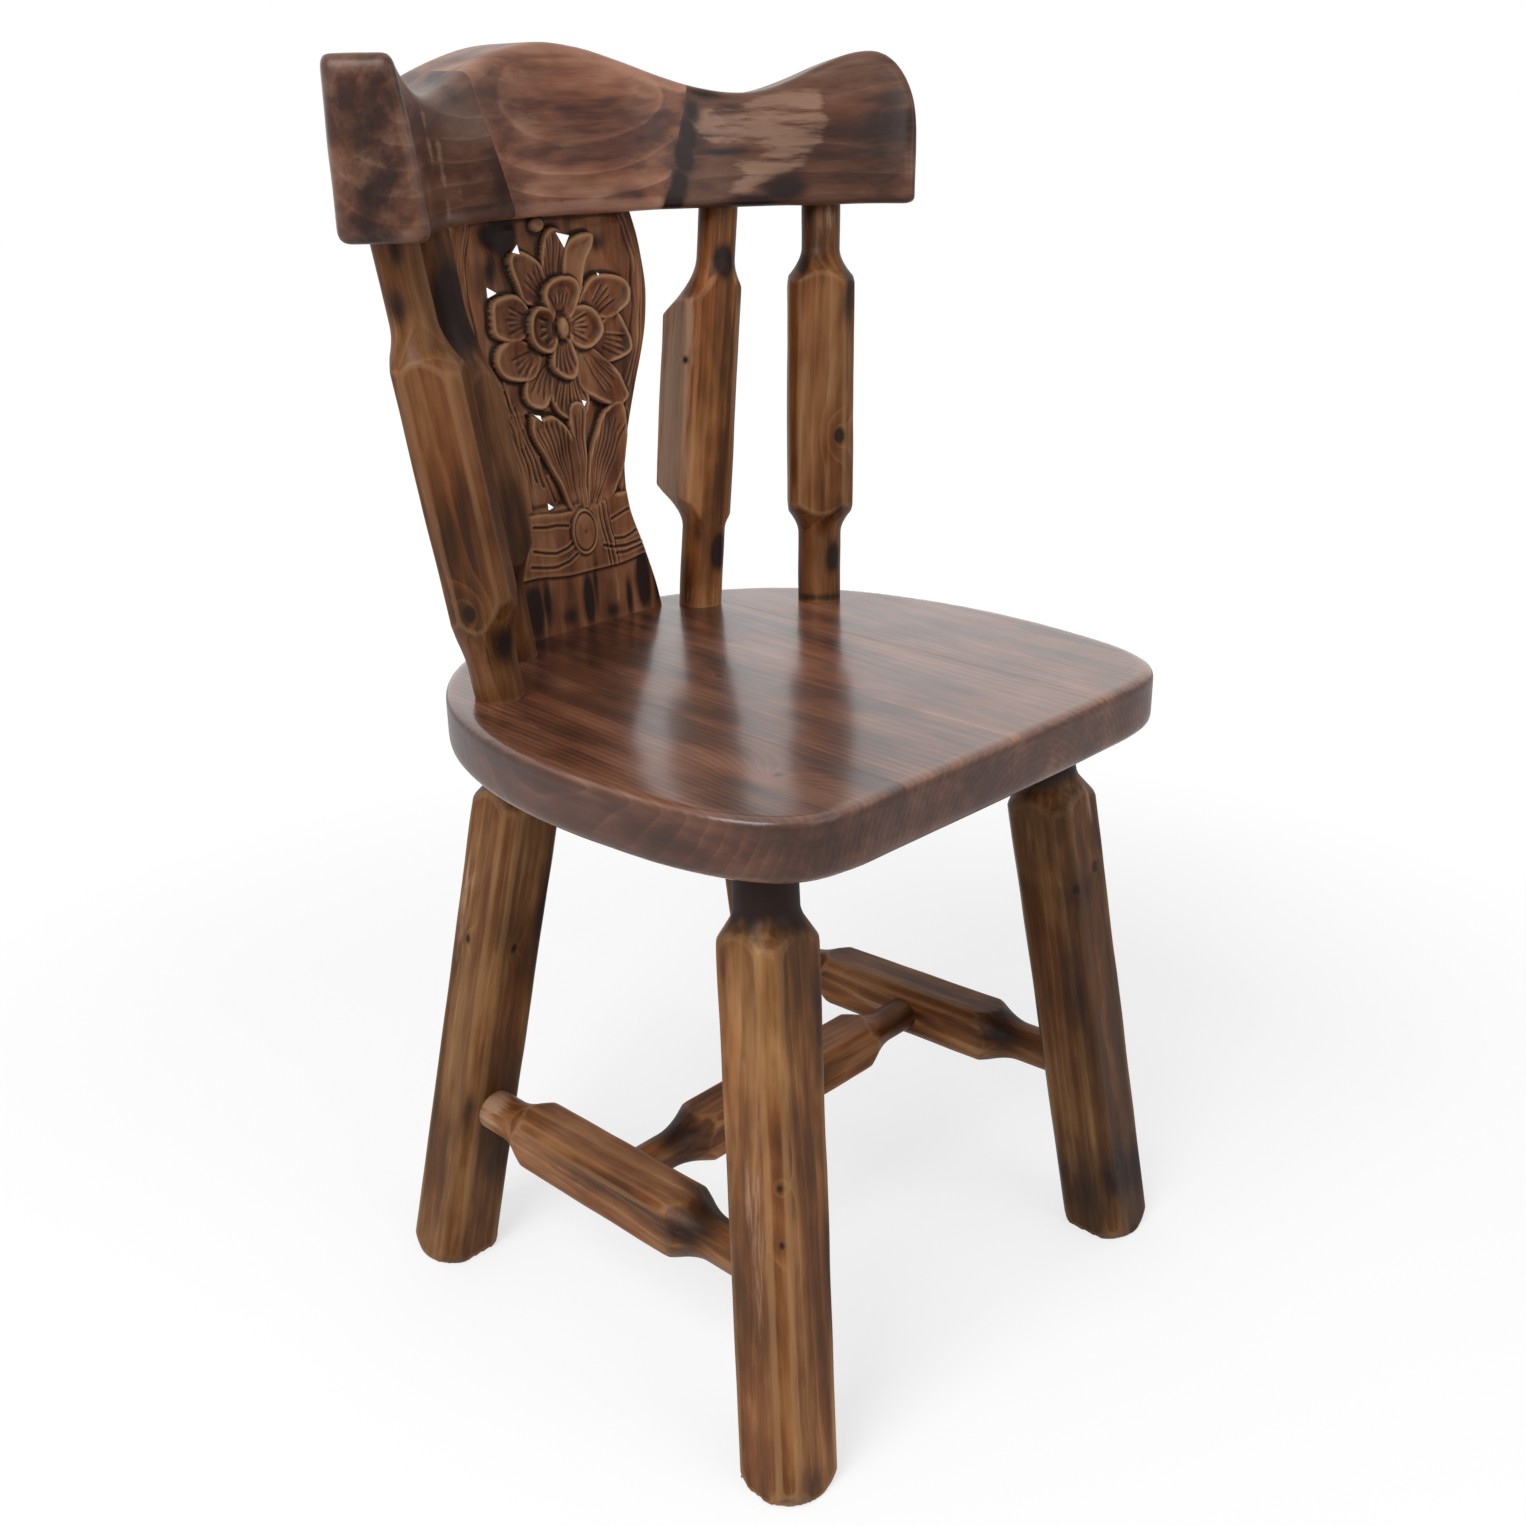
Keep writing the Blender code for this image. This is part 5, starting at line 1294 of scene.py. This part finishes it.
# The torn pale patch on the crest's left block: across, then up
crest_patch = [
    (92, 822), (128, 825), (156, 836), (180, 837), (176, 822), (180, 812), (176, 797), (163, 781),
    (145, 773), (125, 760), (108, 762), (122, 778), (107, 784), (134, 792), (104, 798), (89, 808),
]
crest_knots = [((199, 64, 815), 3.2), ((-212.5, 30, 818), 3.5)]
# By crest block: two points of its pith
crest_blocks = {
    "crest_block_right": ((-0.250, 0.030, 0.826), (-0.085, 0.163, 0.826)),
    "crest_block_centre": ((-0.100, 0.200, 0.824), (0.100, 0.200, 0.824)),
    "crest_block_left": ((0.085, 0.150, 0.814), (0.2125, 0.0455, 0.814)),
}
crest_light_shares = (0.64, 1.36, 0.60)
splat_marks = dict(
    scorched=[
        ((-60, 0, 20), (11, 20, 22), 1.5), ((-48, 0, 26), (6, 20, 30), 1.1),
        ((-9, 0, 18), (6, 20, 24), 1.6), ((-1, 0, 30), (3, 20, 26), 0.9), ((31, 0, 14), (4, 20, 22), 1.1),
        ((46, 0, 22), (8, 20, 28), 1.7), ((60, 0, 28), (5, 20, 34), 1.2), ((71, 0, 20), (8, 20, 30), 1.3),
        ((-30, 0, 10), (12, 20, 10), 0.8), ((15, 0, 6), (12, 20, 8), 0.8),
        ((-62, 0, 262), (8, 20, 16), 0.9), ((-72, 0, 250), (12, 20, 50), 0.6),
        ((-50, 0, 283), (20, 20, 16), 1.1), ((36, 0, 273), (12, 20, 10), 0.9),
        ((77, 0, 260), (10, 20, 50), 0.7), ((-28, 0, 208), (10, 20, 10), 0.5),
        ((-4.5, 0, 217), (8, 20, 10), 0.62), ((-16, 0, 236), (6, 20, 12), 0.6),
        ((-12, 0, 190), (8, 20, 10), 0.5), ((-8, 0, 70), (8, 20, 12), 0.6),
    ],
    pale=[
        ((-24, 0, 20), (6, 20, 30), 0.5), ((20, 0, 22), (4, 20, 30), 0.7),
        ((18, 0, 262), (10, 20, 18), 0.42), ((22, 0, 212), (9, 20, 8), 0.42),
        ((54, 0, 236), (7, 20, 10), 0.4), ((34, 0, 176), (14, 20, 12), 0.4),
        ((34, 0, 142), (8, 20, 20), 0.36),
    ])


def pith_at(placement, across, back, lean_x=0.0, lean_y=0.0):
    """The same placement moved sideways to the heart of the log that the piece was sawn from."""
    tilt = Matrix.Rotation(lean_x, 4, "X") @ Matrix.Rotation(lean_y, 4, "Y")
    return placement @ Matrix.Translation((across, back, 0)) @ tilt


def dress_legs():
    """Four legs: neck and shoulder scorched nearly black, then streaks down the sides."""
    for number, (node, marks) in enumerate(leg_marks.items()):
        end, side = node.split("_")[1:]
        leg, placement = make_leg(end + "_" + side + "_leg", end, 1 if side == "left" else -1)
        mark_wood(leg, seen_from(placement, mesh_points(leg)), **marks)
        heart = pith_at(placement, *leg_piths[number], 0.02, -0.015)
        tones = toned(leg_tones, leg_light_shares[number])
        finish_piece(leg, node, stained_wood(node + "_wood", heart, 11.0 + number, tones))


def dress_stretchers():
    """Two side stretchers and the one between them."""
    for number, (hand, side) in enumerate((("right", -1), ("left", 1))):
        node = "side_stretcher_" + hand
        bar, placement = make_side_stretcher("side_rail_" + hand, side)
        mark_wood(bar, seen_from(placement, mesh_points(bar)), **stretcher_marks)
        heart = pith_at(placement, 0.025, -0.022, 0.02, 0.01)
        finish_piece(bar, node, stained_wood(
            node + "_wood", heart, 21.0 + number, spindle_tones))
    bar, placement = make_cross_stretcher("cross_rail")
    mark_wood(bar, seen_from(placement, mesh_points(bar)), **cross_stretcher_marks)
    heart = pith_at(placement, 0.02, 0.03, 0.01, 0.02)
    finish_piece(bar, "cross_stretcher", stained_wood(
        "cross_stretcher_wood", heart, 24.0, spindle_tones))


def dress_spindles():
    """Four spindles, whose neck and shoulder lengths differ, as turned by hand."""
    for number, (node, side, stand, shape) in enumerate(spindle_tables):
        bar, placement = make_spindle(node.replace("spindle_", "") + "_spindle", side, stand, shape)
        mark_wood(bar, seen_from(placement, mesh_points(bar)), **spindle_marks[node])
        heart = pith_at(placement, *spindle_piths[number], 0.015, 0.02)
        tones = toned(spindle_tones, spindle_light_shares[number])
        finish_piece(bar, node, stained_wood(node + "_wood", heart, 31.0 + number, tones))


def paint_shade_on_seat_sides(board):
    """The seat's upright edges are darkened as painted shade, and keep less varnish."""
    sideways = 1 - eased(np.abs(facings(board)[:, 2]), 0.35, 0.95)
    # Painted shade on the upright sides, put into the scorch mark and the corner-shade mark.
    for mark, least in (("scorched", 0.34), ("painted_shade", 0.80)):
        marked = np.empty(len(sideways))
        board.data.attributes[mark].data.foreach_get("value", marked)
        keep(board, mark, np.maximum(marked, least * sideways))
    keep(board, "level", 1 - 0.8 * sideways)


def dress_seat():
    """Four boards glued edge to edge, their grain running from front to back."""
    panel = make_seat_panel()
    middle = Vector((0.03, 0, 0.395))
    grain = pith_at(along(middle, middle + Vector((0, 1, 0)), Vector((1, 0, 0))), 0, 0, 0.03, 0.05)
    for number, (node, edges) in enumerate(board_edges.items()):
        board = copy_of(panel, node.replace("seat_board_", "") + "_seat_board")
        for edge, outwards in zip(edges, (-1, 1)):
            if edge is not None:
                cut = Vector((edge - outwards * joint_gap / 2, 0, 0)) + chair_shift
                saw(board, cut, Vector((outwards, 0, 0)))
        places = mesh_points(board) - np.array(chair_shift)
        mark_wood(board, places, seat_scorched, seat_pale, seat_knots, seat_swells)
        finish_piece(board, node, stained_wood(
            node + "_wood", grain, 41.0 + number * 0.07, toned(seat_tones, seat_light_shares[number]),
            ring_spacing=0.0046, ring_depth=-0.34, roughness=0.34, coat=0.95, coat_roughness=0.17,
            specular=0.25, stain_depth=0.40, rub_and_highlight=0.25, coat_mark="level"))
        paint_shade_on_seat_sides(board)
    bpy.data.objects.remove(panel, do_unlink=True)


def mark_patch(block, places):
    """Adds the torn pale patch to the side of a crest block that faces the sitter."""
    distance = inside_distance(places[:, 0] * 1000, places[:, 2] * 1000, crest_patch)
    patch = 0.57 * eased(distance, -6, 6) * eased(-facings(block)[:, 1], 0.2, 0.5)
    keep(block, "pale", np.maximum(soft_spots(places * 1000, crest_pale), patch))


def dress_crest():
    """Crest rail: three blocks glued end to end, sawn to one curve."""
    rail = make_crest_rail()
    for number, (node, (grain_start, grain_end)) in enumerate(crest_blocks.items()):
        block = copy_of(rail, node.replace("crest_block_", "") + "_crest_block")
        for side in (-1, 1):
            middle, away = crest_joint(side)
            if node.endswith("centre"):
                saw(block, middle - away * joint_gap / 2, away)
            elif node.endswith("left" if side > 0 else "right"):
                saw(block, middle + away * joint_gap / 2, -away)
        places = mesh_points(block) - np.array(chair_shift)
        mark_wood(block, places, crest_scorched, crest_pale, crest_knots)
        mark_patch(block, places)
        grain = along(Vector(grain_start) + chair_shift, Vector(grain_end) + chair_shift, Vector((0, 0, 1)))
        finish_piece(block, node, stained_wood(
            node + "_wood", grain, 51.0 + number, toned(crest_tones, crest_light_shares[number]),
            ring_spacing=0.013, ring_depth=-0.30, roughness=0.36, coat=0.18, coat_roughness=0.22,
            wander=0.020, streak_depth=0.34, pale_colour=(0.215, 0.120, 0.080)))
    bpy.data.objects.remove(rail, do_unlink=True)


def dress_splat():
    """The carved splat, scorched at its foot and in its hollows; the carving's hollows also get gathered
    stain and painted shade.
    """
    splat, placement = make_splat("carved_splat")
    places = seen_from(placement, mesh_points(splat)) - (splat_off_centre, 0, 0)
    mark_wood(splat, places, **splat_marks)
    finish_piece(splat, "splat", stained_wood(
        "splat_wood", pith_at(placement, 0.01, 0.05, 0.02, 0.01), 61.0, splat_tones, ring_spacing=0.0040,
        ring_depth=0.12, carved=True, streak_depth=0.34, rub_and_highlight=0.0))


def dress_dowels():
    """Dowels inside the crest rail's joints stay as the frame has them, in bare wood."""
    bare_wood = stained_wood(
        "dowel_wood", Matrix.Identity(4), 71.0,
        ((0.22, 0.13, 0.07), (0.32, 0.20, 0.12), (0.42, 0.28, 0.17), (0.50, 0.35, 0.22), (0.56, 0.41, 0.28)))
    for node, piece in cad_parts.items():
        if node.startswith("crest_dowel"):
            piece.data.materials.clear()
            piece.data.materials.append(bare_wood)


# Studio: white floor and background, soft light from the upper left, the camera
def make_floor():
    """A pale floor that shows the chair's soft shadow and is plain white further out."""
    clear_selection()
    bpy.ops.mesh.primitive_plane_add(size=16, location=(0, 0, 0))
    floor = bpy.context.object
    floor.name = "studio_floor"
    material, work = new_material("white_floor")
    place = work.add("TexCoord").outputs["Object"]
    away = work.add("VectorMath", {0: place}, operation="LENGTH").outputs["Value"]
    plain = work.between(away, 0.55, 1.25)
    share = work.math("MULTIPLY_ADD", plain, 0.36, 0.64, clamp=True)
    seen = work.add("LightPath").outputs["Is Camera Ray"]
    share = work.math("MULTIPLY", share, seen)
    paper = work.add("BsdfDiffuse", {"Color": (0.92, 0.92, 0.92, 1)})
    white = work.add("Emission", {"Color": (1, 1, 1, 1), "Strength": 1.02})
    work.finish(work.add("MixShader", {0: share, 1: paper.outputs[0], 2: white.outputs[0]}))
    floor.data.materials.append(material)


def make_sky():
    """Even light all round; the camera and the varnish's reflections see plain white."""
    world = bpy.data.worlds.new("studio")
    bpy.context.scene.world = world
    world.use_nodes = True
    work = Workings(world.node_tree)
    path = work.add("LightPath").outputs
    seen = work.math("MAXIMUM", path["Is Camera Ray"], path["Is Glossy Ray"])
    seen = work.math("MAXIMUM", seen, path["Is Transmission Ray"])
    soft = work.add("Background", {"Color": (0.97, 0.98, 1.0, 1), "Strength": 0.55})
    white = work.add("Background", {"Color": (1, 1, 1, 1), "Strength": 1.0})
    work.finish(work.add("MixShader", {0: seen, 1: soft.outputs[0], 2: white.outputs[0]}), "World")


def add_lamp(name, place, size, power):
    """A large soft lamp pointed at the middle of the chair."""
    clear_selection()
    bpy.ops.object.light_add(type="AREA", location=place)
    lamp = bpy.context.object
    lamp.name = name
    lamp.data.shape = "SQUARE"
    lamp.data.size = size
    lamp.data.energy = power
    lamp.rotation_euler = (Vector((0, 0, 0.45)) - Vector(place)).to_track_quat("-Z", "Y").to_euler()


def make_camera():
    """The camera at the place from which the chair is looked at."""
    place = Vector((-0.77590, -0.75731, 0.81207)) + chair_shift
    yaw, pitch, roll = math.radians(45.583), math.radians(21.265), math.radians(-1.012)
    ahead = Vector((math.sin(yaw) * math.cos(pitch), math.cos(yaw) * math.cos(pitch), -math.sin(pitch)))
    right = ahead.cross(Vector((0, 0, 1))).normalized()
    above = right.cross(ahead)
    turned_right = right * math.cos(roll) + above * math.sin(roll)
    turned_above = above * math.cos(roll) - right * math.sin(roll)
    turn = Matrix((turned_right, turned_above, -ahead)).transposed().to_4x4()
    clear_selection()
    bpy.ops.object.camera_add()
    camera = bpy.context.object
    camera.name = "camera"
    camera.data.sensor_width = 36
    camera.data.lens = 38.90
    camera.data.clip_start = 0.05
    camera.matrix_world = Matrix.Translation(place) @ turn
    bpy.context.scene.camera = camera


dress_legs()
dress_stretchers()
dress_spindles()
dress_seat()
dress_crest()
dress_splat()
dress_dowels()
make_floor()
make_sky()
add_lamp("key_lamp", (-2.1, -0.4, 2.3), 1.6, 62)
add_lamp("front_lamp", (0.2, -2.7, 1.8), 1.8, 20)
make_camera()
bpy.context.scene.view_settings.view_transform = "Standard"
